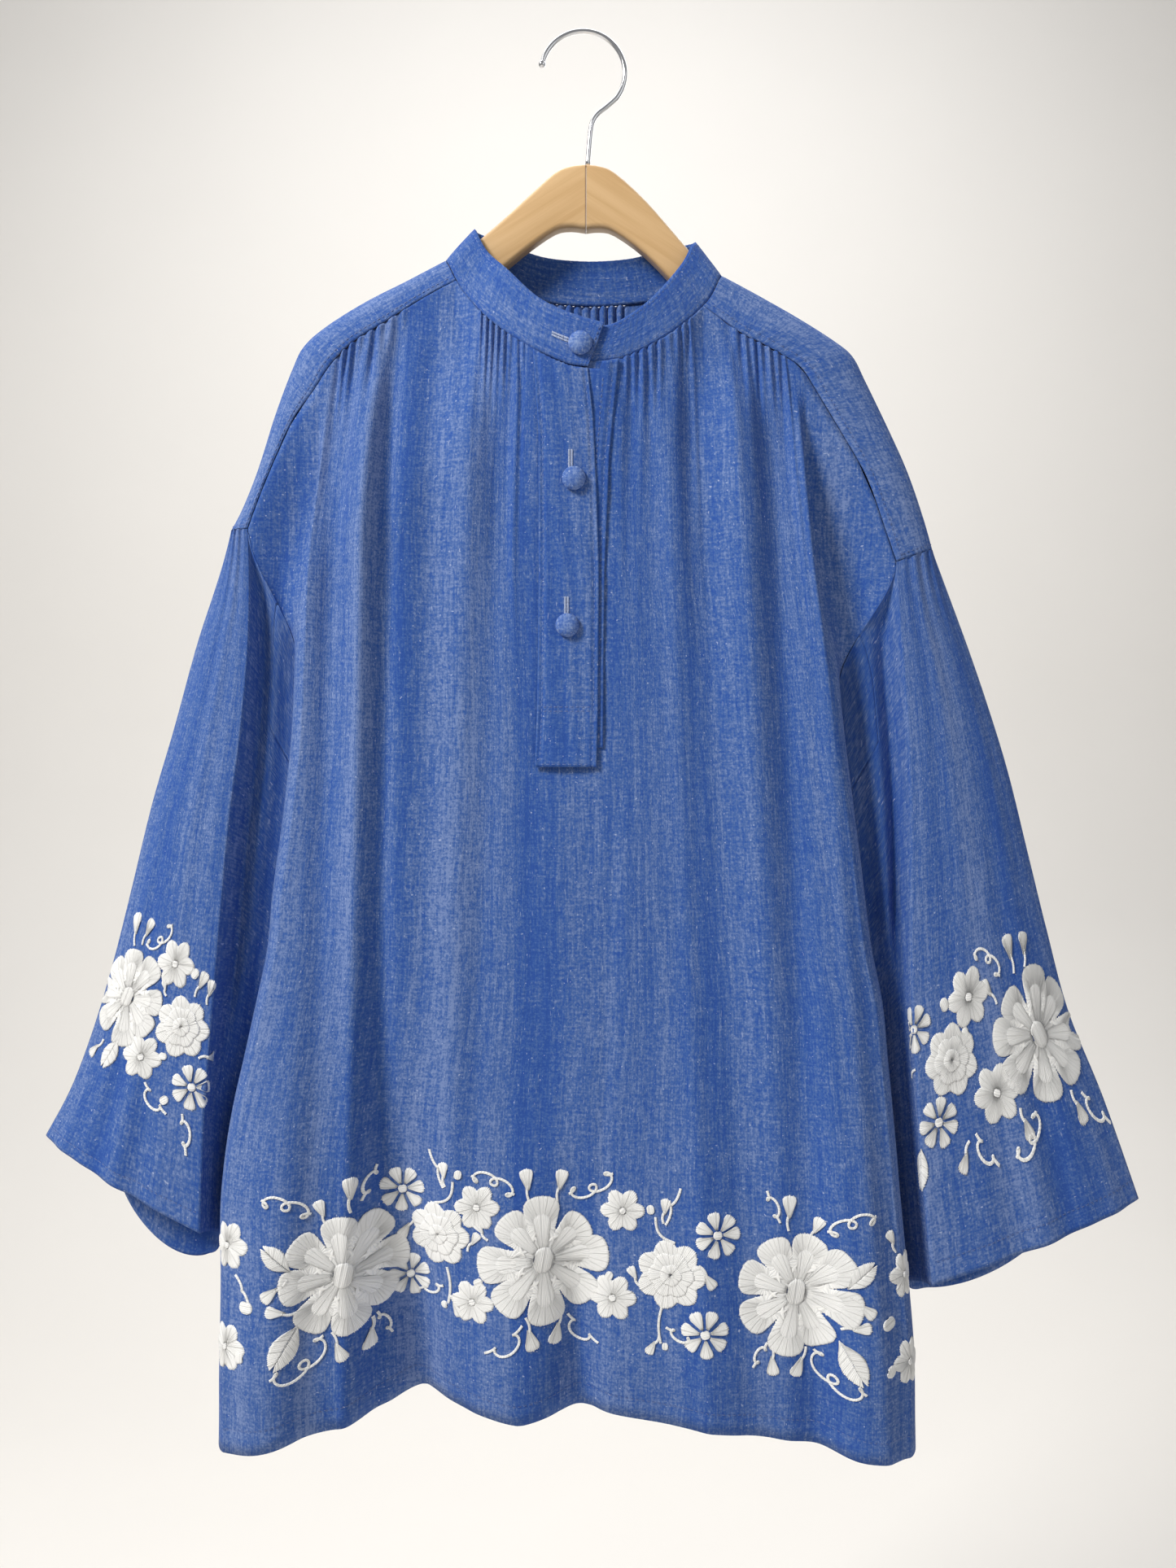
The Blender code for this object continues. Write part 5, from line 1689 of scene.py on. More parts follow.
@dataclass
class Studio:
    """Pale sweep, soft lights and the camera.

    Args:
        camera: place of the camera in metres.
        lens: focal length for a 36 mm long side.
        floor_z: height of the floor.
        bend: radius of the curve between floor and backdrop.
    """

    camera: tuple[float, float, float] = (0.0014, -0.925, -0.5452)
    lens: float = 29.23
    floor_z: float = -1.75
    bend: float = 1.6

    def sweep(self) -> None:
        """Floor that curves up into a backdrop, far behind the garment."""
        bend, low = self.bend, self.floor_z
        profile = [(-3.4, low), (bend, low)]
        for i in range(1, 13):
            angle = math.radians(7.5 * i)
            profile.append((bend + bend * math.sin(angle), low + bend * (1.0 - math.cos(angle))))
        profile.append((2.0 * bend, 3.2))
        net = Net()
        points = [[Vector((x, y, z)) / MM for y, z in profile] for x in (-4.5, 4.5)]
        flats = [[(x, i) for i in range(len(profile))] for x in (0.0, 1.0)]
        net.grid(points, flats)
        data = net.mesh("sweep", lambda p: Vector((0.0, -1.0, 1.0)))
        data.materials.append(Plaster().material())
        floor = add_object("sweep", data)

    def light(self, name: str, place: tuple[float, float, float], aim: tuple[float, float, float], size: float,
              power: float, colour: tuple[float, float, float]) -> None:
        """Adds a soft square light that points at a place."""
        data = bpy.data.lights.new(name, "AREA")
        data.size = size
        data.energy = power
        data.color = colour
        lamp = add_object(name, data)
        lamp.location = place
        lamp.rotation_euler = (Vector(aim) - Vector(place)).to_track_quat("-Z", "Y").to_euler()

    def build(self) -> None:
        """Sets up the whole studio."""
        self.sweep()
        aim = (0.0, 0.0, -0.55)
        self.light("key", (-1.9, -1.6, 1.35), aim, 0.8, 100.0, (1.0, 0.99, 0.97))
        self.light("fill", (1.9, -1.9, 0.3), aim, 2.2, 10.0, (0.95, 0.97, 1.0))
        self.light("back", (0.6, 1.9, 0.9), aim, 1.6, 18.0, (1.0, 1.0, 1.0))
        self.light("wall", (0.0, 0.9, 1.7), (0.0, 3.0, -0.7), 2.4, 56.0, (0.97, 0.98, 1.0))
        world = bpy.data.worlds.new("studio")
        world.use_nodes = True
        shade = world.node_tree.nodes["Background"]
        shade.inputs["Color"].default_value = (0.93, 0.94, 0.97, 1.0)
        shade.inputs["Strength"].default_value = 0.25
        bpy.context.scene.world = world
        bpy.context.scene.view_settings.view_transform = "Standard"
        data = bpy.data.cameras.new("camera")
        data.sensor_width = 36.0
        data.lens = self.lens
        data.clip_start = 0.05
        camera = add_object("camera", data)
        camera.location = self.camera
        camera.rotation_euler = (math.radians(90.0), 0.0, 0.0)
        bpy.context.scene.camera = camera


Path = Callable[[float], tuple[float, float]]

# One stitch from end to end: place along it and share of its height
STITCH = ((0.0, 0.0), (0.035, 0.7), (0.14, 0.95), (0.86, 0.95), (0.965, 0.7), (1.0, 0.0))
DAISY_PETALS = 8
STAR_PETALS = 7


class Kind(Enum):
    """Motifs of the embroidery."""

    DAISY = "daisy"
    ROSE = "rose"
    BLOSSOM = "blossom"
    STAR = "star"
    LEAF = "leaf"
    BUD = "bud"
    DOT = "dot"
    CURL = "curl"


DAISY, ROSE, BLOSSOM, STAR, LEAF, BUD, DOT, CURL = Kind


class Motif(NamedTuple):
    """A motif: its centre or start, its size and where it points, in degrees; bend and loops are a curl's."""

    kind: Kind
    x: float
    z: float
    size: float
    turn: float = 0.0
    bend: float = 0.0
    loops: int = 0


# Sprigs round the outer daisies, from the daisy's centre; the mirrored copy serves the other side
SPRIGS = rows_of(Motif,
    (CURL, -17, 43, 42, 160, -5, 3), (BUD, -10, 34, 19, 112), (BUD, 5, 42, 24, 92), (CURL, 10, 46, 27, 68, 3, 2),
    (LEAF, -33, 7, 25, 138), (BUD, -35, 2, 21, 219), (BUD, -29, -21, 20, 172), (LEAF, -28, -29, 32, 240),
    (CURL, -8, -38, 50, 216, 12, 3), (BUD, -7, -38, 22, 292), (BUD, 17, -37, 21, 266),
    (CURL, 19, -34, 23, 300, 3, 2))
# Sprigs round the middle daisy
MIDDLE_SPRIGS = rows_of(Motif,
    (CURL, -16, 45, 40, 158, -6, 3), (BUD, -9, 40, 23, 98), (BUD, 10, 40, 22, 80), (CURL, 15, 42, 42, 26, -7, 3),
    (BUD, -38, 14, 15, 128), (DOT, -45, -16, 3.4, 30), (CURL, -12, -42, 38, 218, 10, 2), (BUD, -12, -38, 24, 284),
    (BUD, 12, -38, 22, 258), (CURL, 15, -40, 34, 318, -9, 2), (DOT, 46, -12, 3.2, 60))
# Sprigs round a rose
ROSE_SPRIGS = rows_of(Motif,
    (CURL, -3, 22, 22, 52, -5, 0), (CURL, 4, 33, 30, 112, 3, 1), (BUD, 5, 35, 17, 96), (DOT, 14, 44, 3.3, 80),
    (BUD, -19, 8, 19, 236), (BUD, 21, -9, 15, 60), (CURL, 6, -22, 26, 272, 2, 0), (CURL, 5, -36, 25, 205, 4, 2),
    (BUD, 8, -42, 16, 300), (DOT, 4, -50, 2.6, 90))
BAND = rows_of(Motif,
    (DAISY, -168, -884, 43, 8), (DAISY, -30, -876, 44, 0), (DAISY, 145, -896, 44, -14),
    (ROSE, -103.5, -862, 20.5, 0), (ROSE, 58.8, -885, 22, 30), (STAR, -131, -834, 16.5, 10),
    (STAR, -126, -897, 15.5, 25), (STAR, 91, -857, 16, 0), (STAR, 82, -924, 16.5, 18), (BLOSSOM, -76, -840, 14, 0),
    (BLOSSOM, -79, -906, 13.5, 20), (BLOSSOM, 25.5, -842, 13.5, 40), (BLOSSOM, 18.5, -903, 14.5, 10),
    (BLOSSOM, -247, -862, 14.5, 0), (BLOSSOM, -248, -930, 14.5, 15), (BLOSSOM, 224, -884, 14, 5),
    (BLOSSOM, 226, -943, 14, 35), (DOT, -231, -901, 5, 0), (DOT, -236, -935, 4.2, 90), (DOT, 207, -914, 5, 20),
    (DOT, 208, -946, 4, 70), (CURL, -240, -880, 24, 300, 4, 1), (BUD, 214, -868, 16, 112))
# Bands on the sleeves' fronts: across from the outer edge towards the fold and up from the cuff
CUFF_LEFT = rows_of(Motif,
    (DAISY, 31, 132, 37, 6), (BLOSSOM, 71, 164, 15.5, 0), (ROSE, 84, 120, 21, 0), (BLOSSOM, 55, 92, 14.5, 25),
    (STAR, 97, 79, 15.5, 10), (LEAF, 32, 100, 24, 252), (BUD, 18, 96, 18, 236), (CURL, 36, 170, 37, 36, -7, 3),
    (BUD, 26, 170, 25, 100), (BUD, 34, 172, 21, 72), (DOT, 90, 160, 4, 50), (BUD, 92, 144, 20, 66),
    (BUD, 103, 140, 18, 80), (BUD, 67, 140, 12, 112), (CURL, 60, 76, 30, 318, -7, 2), (CURL, 92, 62, 26, 282, 4, 2),
    (BUD, 100, 100, 17, 12), (DOT, 72, 96, 3.2, 0), (DOT, 78, 66, 3.4, 40))
CUFF_RIGHT = rows_of(Motif,
    (DAISY, 37, 101, 40, 10), (BLOSSOM, 92, 139, 16.5, 10), (ROSE, 113, 106, 20, 0), (BLOSSOM, 82, 78, 15.5, 25),
    (STAR, 128, 73, 14.5, 0), (STAR, 142, 132, 15, 12), (DOT, 114, 140, 4.4, 70), (BUD, 68, 128, 19, 60),
    (CURL, 58, 142, 36, 42, 7, 3), (BUD, 47, 141, 25, 88), (BUD, 36, 142, 22, 104), (BUD, 94, 110, 13, 64),
    (BUD, 68, 66, 18, 262), (CURL, 54, 62, 34, 320, -7, 3), (CURL, 104, 62, 26, 236, 6, 2), (BUD, 108, 58, 16, 300),
    (BUD, 26, 64, 19, 262), (CURL, 20, 62, 30, 232, 6, 2), (CURL, 142, 108, 18, 330, 3, 1),
    (LEAF, 142, 62, 20, 280))
# Band on a sleeve's back, across from the outer edge
CUFF_BACK = rows_of(Motif,
    (ROSE, -38, 120, 19, 20), (STAR, -32, 72, 15, 0), (DAISY, -88, 98, 34, 12), (BLOSSOM, -66, 148, 14, 0),
    (CURL, -72, 62, 34, 230, 8, 2), (BUD, -98, 134, 20, 110))


class Patch:
    """A surface sampled once on a fine grid, to lay stitches on."""

    def __init__(self, surface: Callable[[float, float], Vector], left: float, right: float, low: float,
                 high: float, probe: tuple[float, float], outward: Vector, pitch: float = 2.5) -> None:
        """Samples the surface.

        Args:
            surface: function of the two flat coordinates.
            left: least first coordinate.
            right: greatest first coordinate.
            low: least second coordinate.
            high: greatest second coordinate.
            probe: flat place at which outward is given.
            outward: way that the stitches stand up there.
            pitch: spacing of the samples in millimetres.
        """
        self.left, self.low, self.pitch = left, low, pitch
        self.wide, self.tall = int((right - left) / pitch) + 1, int((high - low) / pitch) + 1
        self.points = [
            [surface(left + i * pitch, low + j * pitch) for i in range(self.wide + 1)] for j in range(self.tall + 1)
        ]
        way = self.slope(int((probe[0] - left) / pitch), int((probe[1] - low) / pitch))
        self.sign = 1.0 if way.dot(outward) > 0.0 else -1.0

    def slope(self, i: int, j: int) -> Vector:
        """Normal at a sample, on either side."""
        rows = self.points
        across = rows[j][min(i + 1, self.wide)] - rows[j][max(i - 1, 0)]
        up = rows[min(j + 1, self.tall)][i] - rows[max(j - 1, 0)][i]
        return across.cross(up).normalized()

    def at(self, x: float, z: float, lift: float) -> Vector:
        """Point above the surface at these flat coordinates."""
        a = min(max((x - self.left) / self.pitch, 0.0), self.wide - 1e-6)
        b = min(max((z - self.low) / self.pitch, 0.0), self.tall - 1e-6)
        i, j = int(a), int(b)
        f, g = a - i, b - j
        rows = self.points
        low, high = rows[j][i].lerp(rows[j][i + 1], f), rows[j + 1][i].lerp(rows[j + 1][i + 1], f)
        return low.lerp(high, g) + self.slope(round(a), round(b)) * (self.sign * lift)


@dataclass
class Embroidery:
    """Satin-stitch flowers, leaves and curls, each thread raised on the cloth.

    Args:
        patch: surface that they lie on.
        thread: width of one stitch in millimetres.
        rise: height of the stitches.
    """

    patch: Patch
    thread: float = 1.25
    rise: float = 1.0

    def __post_init__(self) -> None:
        """Starts with no stitches."""
        self.net = Net("stitch")
        self.seed = 0.0

    def fill(self, one: Path, two: Path, base: float = 0.1, rise: float = 0.0, ragged: float = 0.9) -> None:
        """Fills the strip between two lines with stitches that run from the first to the second.

        Args:
            one: line that the stitches start on, for 0 to 1.
            two: line that they end on.
            base: height that the strip starts at.
            rise: height of its crown above that, or the usual one if 0.
            ragged: how unevenly the stitches end, in millimetres.
        """
        rise = rise or self.rise
        length = [0.0, 0.0]
        for k, line in enumerate((one, two)):
            spots = [line(i / 12.0) for i in range(13)]
            length[k] = sum(math.dist(a, b) for a, b in zip(spots, spots[1:]))
        count = max(int(max(length) / self.thread), 3)
        points: list[list[Vector]] = [[] for _ in STITCH]
        flats: list[list[tuple[float, float]]] = [[] for _ in STITCH]
        for j in range(2 * count + 1):
            u = j / (2.0 * count)
            self.seed += 1.0
            (ax, az), (bx, bz) = one(u), two(u)
            span = max(math.hypot(bx - ax, bz - az), 0.1)
            crown = j % 2 == 1
            over = ragged * chance(self.seed) / span if crown else -0.15 * ragged / span
            for row, (v, high) in enumerate(STITCH):
                along = mix(-over, 1.0 + over, v)
                lift = base + rise * high * (1.0 if crown else 0.66)
                points[row].append(self.patch.at(mix(ax, bx, along), mix(az, bz, along), lift))
                flats[row].append((j / 2.0 + round(self.seed) // 7 * 3.0, v))
        self.net.grid(points, flats)

    def turned(self, motif: Motif, along: float, across: float) -> tuple[float, float]:
        """Flat coordinates of a place given along and across a motif's direction."""
        angle = math.radians(motif.turn)
        return (motif.x + along * math.cos(angle) - across * math.sin(angle),
                motif.z + along * math.sin(angle) + across * math.cos(angle))

    def oval(self, motif: Motif, long: float, wide: float, base: float, rise: float) -> None:
        """Oval filled lengthwise with stitches."""

        def low(u: float) -> tuple[float, float]:
            """Lower edge."""
            return self.turned(motif, -long * math.sin(math.pi * mix(0.08, 0.92, u)), -wide * math.cos(math.pi * u))

        def high(u: float) -> tuple[float, float]:
            """Upper edge."""
            return self.turned(motif, long * math.sin(math.pi * mix(0.08, 0.92, u)), -wide * math.cos(math.pi * u))

        self.fill(low, high, base, rise, 0.25)

    def petal(self, motif: Motif, start: float, length: float, width: float, core: bool) -> None:
        """Petal that leaves the motif's centre along its direction.

        Args:
            motif: centre and direction.
            start: distance of its base from the centre.
            length: its length.
            width: its width at the widest.
            core: whether it has a rim of stitches round a core, or is filled lengthwise.
        """

        def outline(u: float, scale: float = 1.0) -> tuple[float, float]:
            """Edge of the petal from one side of its base over its tip to the other."""
            bow = math.sin(math.pi * u)
            side = -math.cos(math.pi * u) * (0.36 + 0.64 * bow)
            return self.turned(motif, start + length * scale * bow ** 0.5, width * scale * side)

        def inner(u: float) -> tuple[float, float]:
            """Line that the rim's stitches start on."""
            along, across = outline(mix(0.04, 0.96, u), 0.60), outline(0.5, 0.60)
            return mix(along[0], across[0], 0.3), mix(along[1], across[1], 0.3)

        def core_edge(u: float) -> tuple[float, float]:
            """Edge of the core."""
            bow = math.sin(math.pi * mix(0.14, 0.86, u))
            side = -math.cos(math.pi * mix(0.14, 0.86, u)) * (0.2 + 0.8 * bow)
            return self.turned(motif, start + length * 0.66 * bow ** 0.7, width * 0.52 * side)

        def foot(u: float) -> tuple[float, float]:
            """Base of the petal."""
            return self.turned(motif, start * 0.9, mix(-0.13, 0.13, u) * width)

        if core:
            self.fill(inner, outline, 0.45, self.rise * 0.6)
            self.fill(foot, core_edge, 0.7, self.rise * 0.5, 1.1)
        else:
            self.fill(foot, lambda u: outline(mix(0.10, 0.90, u)), 0.1, self.rise * 0.9)

    def ring(self, motif: Motif, inner: float, outer: float, waves: int, depth: float, base: float,
             rise: float = 0.0) -> None:
        """Ring of stitches that point outwards to a scalloped edge."""

        def at(u: float, radius: float, swing: float) -> tuple[float, float]:
            """Point of the ring."""
            angle = math.tau * u + math.radians(motif.turn)
            wide = radius * (1.0 + swing * (abs(math.cos(waves * angle / 2.0)) - 0.6))
            return motif.x + wide * math.cos(angle), motif.z + wide * math.sin(angle)

        self.fill(lambda u: at(u, inner, 0.0), lambda u: at(u + 0.01, outer, depth), base, rise)

    def curl(self, motif: Motif) -> None:
        """Rope-stitched line with loops along it."""

        def middle(u: float) -> tuple[float, float]:
            """Middle of the line."""
            turn = math.tau * motif.loops * smooth(mix(0.12, 0.88, u)) if motif.loops else 0.0
            radius = motif.size * 0.085 if motif.loops else 0.0
            flip = -1.0 if motif.bend < 0.0 else 1.0
            along = motif.size * u + 1.5 * radius * math.sin(turn)
            across = motif.bend * math.sin(math.pi * u) - flip * radius * (1.0 - math.cos(turn))
            return self.turned(motif, along, across)

        def edge(u: float, side: float) -> tuple[float, float]:
            """One edge of the rope, a little ahead on one side so that its stitches slant."""
            place = min(max(u + side * 0.004, 0.0), 1.0)
            (ax, az), (bx, bz) = middle(place - 0.004), middle(place + 0.004)
            size = max(math.hypot(bx - ax, bz - az), 1e-6)
            x, z = middle(place)
            return x - side * 0.85 * (bz - az) / size, z + side * 0.85 * (bx - ax) / size

        self.fill(lambda u: edge(u, -1.0), lambda u: edge(u, 1.0), 0.2, 0.8, 0.15)

    def leaf(self, motif: Motif) -> None:
        """Leaf whose stitches slant from its rib to its edges."""
        for side in (-1.0, 1.0):
            def rib(u: float) -> tuple[float, float]:
                """Rib of the leaf."""
                return self.turned(motif, motif.size * 0.88 * u, side * 0.15)

            def edge(u: float, side: float = side) -> tuple[float, float]:
                """Edge of the leaf."""
                wide = motif.size * 0.27 * math.sin(math.pi * mix(0.06, 0.97, u)) ** 0.8
                return self.turned(motif, motif.size * mix(0.14, 1.03, u), side * wide)

            self.fill(rib, edge, 0.1, 1.1)

    def stitch(self, motif: Motif) -> None:
        """Works one motif."""
        size = motif.size
        if motif.kind is Kind.DAISY:
            self.ring(motif, size * 0.15, size * 0.5, DAISY_PETALS, 0.05, 0.1, 0.5)
            for i in range(DAISY_PETALS):
                near = chance(motif.x + i)
                turned = motif._replace(turn=motif.turn + 360.0 / DAISY_PETALS * i + 10.0 * (near - 0.5))
                self.petal(turned, size * 0.20, size * (0.68 + 0.17 * near), size * (0.44 + 0.05 * near), True)
            self.oval(motif._replace(turn=80.0), size * 0.21, size * 0.14, 0.4, 1.5)
        elif motif.kind is Kind.ROSE:
            self.ring(motif, size * 0.58, size, 7, 0.22, 0.1)
            self.ring(motif._replace(turn=motif.turn + 24.0), size * 0.26, size * 0.68, 6, 0.16, 0.7)
            self.ring(motif, size * 0.05, size * 0.33, 5, 0.1, 1.2)
        elif motif.kind is Kind.BLOSSOM:
            self.ring(motif, size * 0.14, size, 6, 0.34, 0.1)
            self.oval(motif, size * 0.17, size * 0.15, 0.9, 0.7)
        elif motif.kind is Kind.STAR:
            for i in range(STAR_PETALS):
                sway = 6.0 * (chance(motif.z + i) - 0.5)
                turned = motif._replace(turn=motif.turn + 360.0 / STAR_PETALS * i + sway)
                self.petal(turned, size * 0.29, size * 0.70, size * 0.45, False)
            self.oval(motif, size * 0.20, size * 0.17, 0.1, 1.1)
        elif motif.kind is Kind.LEAF:
            self.leaf(motif)
        elif motif.kind is Kind.BUD:
            self.curl(motif._replace(size=size * 0.5, bend=1.2, loops=0))
            self.petal(motif, size * 0.42, size * 0.58, size * 0.34, False)
        elif motif.kind is Kind.DOT:
            self.oval(motif, size, size * 0.8, 0.1, 1.0)
        else:
            self.curl(motif)

    def sprigs(self, motif: Motif, rows: Sequence[Motif], mirror: bool) -> None:
        """Works the sprigs round a flower, mirrored left to right if asked."""
        flip = -1.0 if mirror else 1.0
        for row in rows:
            turn = 180.0 - row.turn if mirror else row.turn
            self.stitch(row._replace(x=motif.x + flip * row.x, z=motif.z + row.z, turn=turn, bend=flip * row.bend))

    def piece(self, name: str, finish: bpy.types.Material) -> bpy.types.Object:
        """Hands over the stitches as one piece."""
        return place_piece(name, self.net.mesh(name), finish)


@dataclass
class Flowers:
    """The embroidered bands above the hem and the cuffs."""

    body: Body
    sleeves: Sleeves
    finish: bpy.types.Material
    cuff_length: float = 470.0

    def hem_band(self, back: bool) -> bpy.types.Object:
        """Works the band on the front or the back."""
        facing = Vector((0.0, 1.0 if back else -1.0, 0.0))
        patch = Patch(lambda a, z: self.body.around(a, z, back), -285.0, 260.0, -985.0, -790.0, (0.0, -880.0), facing)
        work = Embroidery(patch)
        for motif in BAND:
            work.stitch(motif)
            if motif.kind is Kind.DAISY:
                middle = abs(motif.x) < 60.0
                work.sprigs(motif, MIDDLE_SPRIGS if middle else SPRIGS, motif.x > 0.0)
            elif motif.kind is Kind.ROSE:
                work.sprigs(motif, ROSE_SPRIGS, motif.x > 0.0)
        return work.piece("embroidery_back" if back else "embroidery_front", self.finish)

    def cuff_band(self, side: Side) -> bpy.types.Object:
        """Works the band on one sleeve."""
        d = self.sleeves.drape
        ring = d.sleeve_steps - 0.001
        tables: list[list[float]] = []
        for way in (1.0, -1.0):
            table = [0.0]
            for k in range(88):
                ends = [d.sleeve_point(side, ring * (way < 0.0) + way * w / 8.0, 0.85) for w in (k, k + 1)]
                table.append(table[-1] + (ends[1] - ends[0]).length)
            tables.append(table)

        def cloth(a: float, b: float) -> Vector:
            """Sleeve surface by distance from its outer edge and height over the cuff."""
            table = tables[0] if a >= 0.0 else tables[1]
            k = next((i for i, reach in enumerate(table) if reach >= abs(a)), len(table) - 1)
            before = table[max(k - 1, 0)]
            part = (abs(a) - before) / max(table[k] - before, 1e-6)
            w = (max(k - 1, 0) + min(max(part, 0.0), 1.0)) / 8.0
            return self.sleeves.surface(side, w if a >= 0.0 else ring - w, 1.0 - b / self.cuff_length)

        patch = Patch(cloth, -130.0, 170.0, 4.0, 215.0, (60.0, 90.0), Vector((side.sign * 0.2, -1.0, 0.0)))
        work = Embroidery(patch)
        for motif in (CUFF_LEFT if side is LEFT else CUFF_RIGHT) + CUFF_BACK:
            work.stitch(motif)
        return work.piece(f"embroidery_sleeve_{side.name}", self.finish)

    def build(self, trims: Trims) -> None:
        """Works all the bands and notes them with their sheets."""
        trims["front_body"] = [self.hem_band(False)]
        trims["back_body"] = [self.hem_band(True)]
        for side in (LEFT, RIGHT):
            trims[f"sleeve_{side.name}"] = [self.cuff_band(side)]


@dataclass
class Sewing:
    """Lines of stitching along the edges and seams, and the worked buttonholes."""

    body: Body
    saddles: Saddles
    sleeves: Sleeves
    collar: Collar
    placket: Placket
    # thread: finish of the stitching, darkened as painted shade for the shaded lines beside it
    thread: bpy.types.Material
    pale: bpy.types.Material
    pitch: float = 3.8
    length: float = 2.7
    width: float = 0.8
    rise: float = 0.5

    def run(self, net: Net, surface: Callable[[float, float], Vector], start: tuple[float, float],
            end: tuple[float, float], outward: Vector) -> None:
        """Sews a line on a surface.

        Args:
            net: net that the stitches go to.
            surface: the surface as a function of two numbers.
            start: the numbers at the line's start.
            end: the numbers at its end.
            outward: rough way out of the surface at the middle of the line.
        """
        count = 200
        spots = [surface(mix(start[0], end[0], i / count), mix(start[1], end[1], i / count)) for i in range(count + 1)]
        beside = (0.01, 0.0) if start[0] == end[0] else (0.0, 0.01)
        outs = []
        for i, spot in enumerate(spots):
            u, v = mix(start[0], end[0], i / count), mix(start[1], end[1], i / count)
            along = spots[min(i + 1, count)] - spots[max(i - 1, 0)]
            outs.append(along.cross(surface(u + beside[0], v + beside[1]) - spot).normalized())
        if outs[count // 2].dot(outward) < 0.0:
            outs = [-out for out in outs]
        walk = [0.0]
        for one, two in zip(spots, spots[1:]):
            walk.append(walk[-1] + (two - one).length)
        at, k = 0.6, 0
        while at + self.length < walk[-1]:
            line, flat = [], []
            for row in range(5):
                reach = at + self.length * row / 4.0
                while k < count - 1 and walk[k + 1] < reach:
                    k += 1
                part = (reach - walk[k]) / max(walk[k + 1] - walk[k], 1e-6)
                spot, out = spots[k].lerp(spots[k + 1], part), outs[k]
                side = (spots[k + 1] - spots[k]).cross(out).normalized()
                high = self.rise * math.sin(math.pi * row / 4.0) ** 0.5 if 0 < row < 4 else -0.1
                line.append([spot + side * (self.width * 0.5 * j) + out * (high if j == 0 else high * 0.3)
                             for j in (-1, 0, 1)])
                flat.append([(0.5 * (j + 1), row / 4.0) for j in (-1, 0, 1)])
            net.grid(line, flat)
            at += self.pitch

    def hole(self, patch: Patch, across: bool, x: float, z: float, long: float = 6.5) -> Embroidery:
        """Works a buttonhole round its slit.

        Args:
            patch: surface that it lies on.
            across: whether the slit runs across rather than down.
            x: flat place of its middle.
            z: the other flat place.
            long: half of its length.

        Returns:
            The stitches.
        """
        work = Embroidery(patch, 0.62, 0.45)
        for side in (-1.0, 1.0):
            def line(u: float, off: float) -> tuple[float, float]:
                """Line along the slit."""
                reach = mix(-long, long, u)
                return (x + reach, z + side * off) if across else (x + side * off, z + reach)

            work.fill(lambda u: line(u, 0.25), lambda u: line(u, 1.6), 0.15, 0.45, 0.25)
        return work

    def holes(self) -> list[tuple[str, bpy.types.Object]]:
        """Works the three buttonholes."""
        front = Vector((0.0, -1.0, 0.0))

        def strip(x: float, z: float) -> Vector:
            """Upper strip by place seen from the front."""
            left, right = self.placket.left(z, True), self.placket.right(z, True)
            return self.placket.surface((x - left) / (right - left), z, True)

        def band(a: float, b: float) -> Vector:
            """Collar end by distance along and up the band."""
            return self.collar.surface(1.2 - a / 26.0, 0.45 + b / 34.0)

        made = [("collar_band", self.hole(Patch(band, -9.0, 9.0, -4.0, 4.0, (0.0, 0.0), front, 0.8), True, 0.0, 0.0))]
        for x, z in ((-10.8, -319.0), (-13.6, -421.0)):
            patch = Patch(strip, x - 4.0, x + 4.0, z - 9.0, z + 9.0, (x, z), front, 0.8)
            made.append(("placket_over", self.hole(patch, False, x, z)))
        return [(name, work.piece(f"buttonhole_{i + 1}", self.pale)) for i, (name, work) in enumerate(made)]

    def seams(self) -> dict[str, Net]:
        """Sews every line, by the solid of the sheet that it is on."""
        front, back = Vector((0.0, -1.0, 0.0)), Vector((0.0, 1.0, 0.0))
        sewn = ("collar_band", "placket_over", "placket_under", "front_body", "back_body")
        nets = {name: Net("stitch") for name in sewn}
        for h in COLLAR_ROWS:
            self.run(nets["collar_band"], self.collar.surface, (0.05, h), (9.5, h), Vector((-1.0, -1.0, 0.0)))
            self.run(nets["collar_band"], self.collar.surface, (9.5, h), (18.9, h), Vector((1.0, -1.0, 0.0)))
        self.run(nets["collar_band"], self.collar.surface, (0.12, COLLAR_ROWS[0]), (0.12, COLLAR_ROWS[1]), front)

        def over(q: float, z: float) -> Vector:
            """Upper strip."""
            return self.placket.surface(q, z, True)

        def under(q: float, z: float) -> Vector:
            """Lower strip."""
            return self.placket.surface(q, z, False)

        for q in (PLACKET_ROW, 1.0 - PLACKET_ROW):
            self.run(nets["placket_over"], over, (q, -264.0), (q, -531.5), front)
        for z in (-491.5, -494.5, -531.5):
            self.run(nets["placket_over"], over, (0.08, z), (0.92, z), front)
        for q in (0.80, 1.0 - PLACKET_ROW):
            self.run(nets["placket_under"], under, (q, -262.0), (q, -518.0), front)
        for name, table, rear in (("front_body", HEM_FRONT, False), ("back_body", HEM_BACK, True)):
            def hem(a: float, h: float, rear: bool = rear, table: Sequence[Hem] = table) -> Vector:
                """Body a height above its hem."""
                return self.body.around(a, lookup(table, a) + h, rear)

            self.run(nets[name], hem, (-255.0, 14.0), (0.0, 14.0), back if rear else front)
            self.run(nets[name], hem, (0.0, 14.0), (240.0, 14.0), back if rear else front)
        for side in (LEFT, RIGHT):
            net = nets[f"saddle_{side.name}"] = Net("stitch")

            def saddle(s: float, turn: float, side: Side = side) -> Vector:
                """Saddle."""
                return self.saddles.surface(side, s, turn)

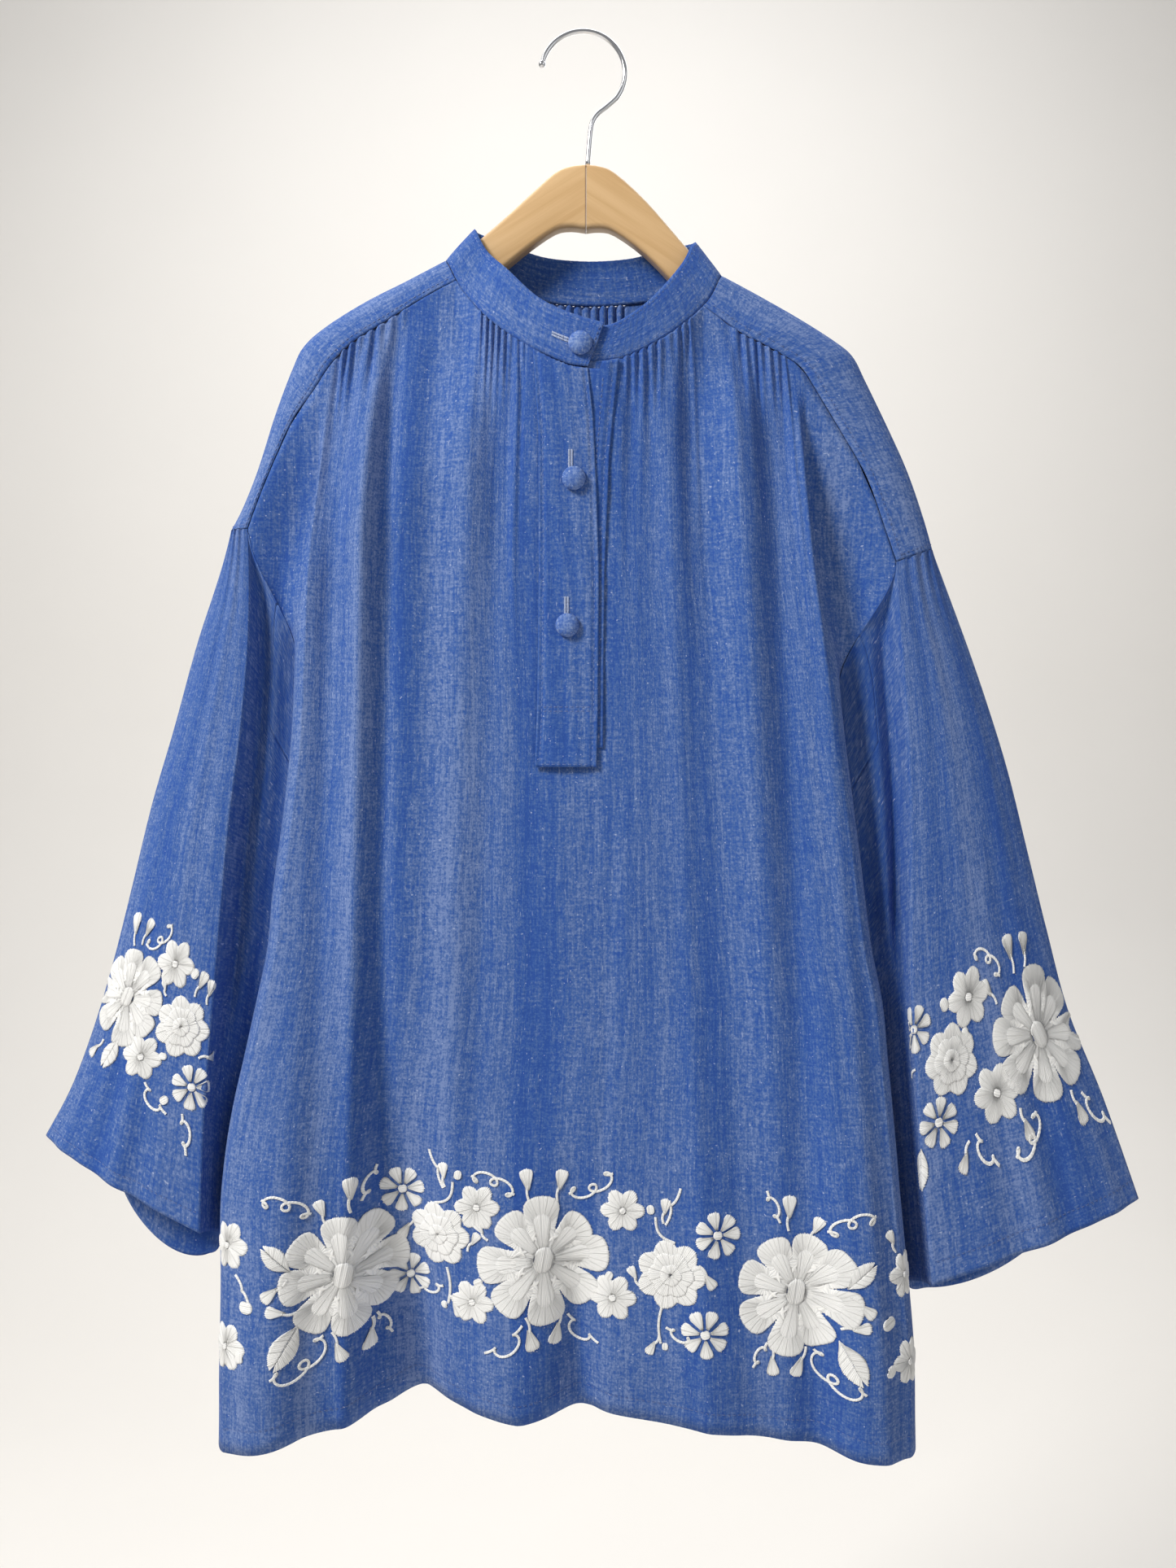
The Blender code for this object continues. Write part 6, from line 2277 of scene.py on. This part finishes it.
            for turn in (-0.90, 0.90):
                out = Vector((side.sign * 0.3, turn, 0.5))
                self.run(net, saddle, (0.02, turn), (0.985, turn), out)
            self.run(net, saddle, (0.975, -0.9), (0.975, 0.9), Vector((side.sign, 0.0, 0.6)))
            net = nets[f"sleeve_{side.name}"] = Net("stitch")

            def sleeve(w: float, t: float, side: Side = side) -> Vector:
                """Sleeve."""
                return self.sleeves.surface(side, w, t)

            self.run(net, sleeve, (0.1, 0.972), (9.9, 0.972), front)
            self.run(net, sleeve, (17.2, 0.972), (27.8, 0.972), back)
        return nets

    def build(self, trims: Trims) -> None:
        """Sews everything and notes it with its sheets."""
        for name, net in self.seams().items():
            title = f"stitching_{name}"
            trims.setdefault(name, []).append(place_piece(title, net.mesh(title), self.thread))
        for name, piece in self.holes():
            trims[name].append(piece)


def main() -> None:
    """Builds every piece in order."""
    logging.basicConfig(level=logging.INFO, format="%(message)s")
    drape = Drape()
    cut = Chambray().material()
    # Paler copy of the cloth for the buttons: painted light, standing in for the light that the domes catch
    cover = Chambray(name="chambray_cover_painted_lighter", deep=(0.055, 0.125, 0.400), clear=(0.090, 0.170, 0.440),
                     middle=(0.145, 0.230, 0.490), pale=(0.25, 0.34, 0.58), swing=0.4, quilted=0.25).material()
    trims: Trims = {}
    body, saddles, sleeves = Body(drape, cut, trims), Saddles(drape, cut, trims), Sleeves(drape, cut, trims)
    collar, placket = Collar(drape, cut, trims), Placket(drape, cut, trims)
    # The second colour of each thread is painted shade between its stitches and at their ends
    yarn = Thread("embroidery_yarn", (0.96, 0.95, 0.915), (0.80, 0.805, 0.81), 0.7, 0.35).material()
    # Blue sewing thread, darkened as painted shade: its dark colour stands in for the shaded grooves and fold edges
    # beside the stitching
    blue = Thread("sewing_thread_painted_darker", (0.130, 0.200, 0.450), (0.022, 0.052, 0.220), 0.6, 0.1).material()
    pale = Thread("buttonhole_thread", (0.46, 0.53, 0.72), (0.16, 0.22, 0.42), 0.6, 0.1).material()
    Flowers(body, sleeves, yarn).build(trims)
    Sewing(body, saddles, sleeves, collar, placket, blue, pale).build(trims)
    for part in (body, saddles, sleeves, collar, placket, Buttons(drape, placket, cover)):
        part.build()
    joint = ARM_LEFT[0].x * MM
    Hanger(VarnishedWood(joint=joint).material(),
           VarnishedWood(name="wood_right", tilt=-34.0, joint=joint).material()).build()
    Hook(BrightWire().material()).build()
    Studio().build()


if __name__ == "__main__":
    main()
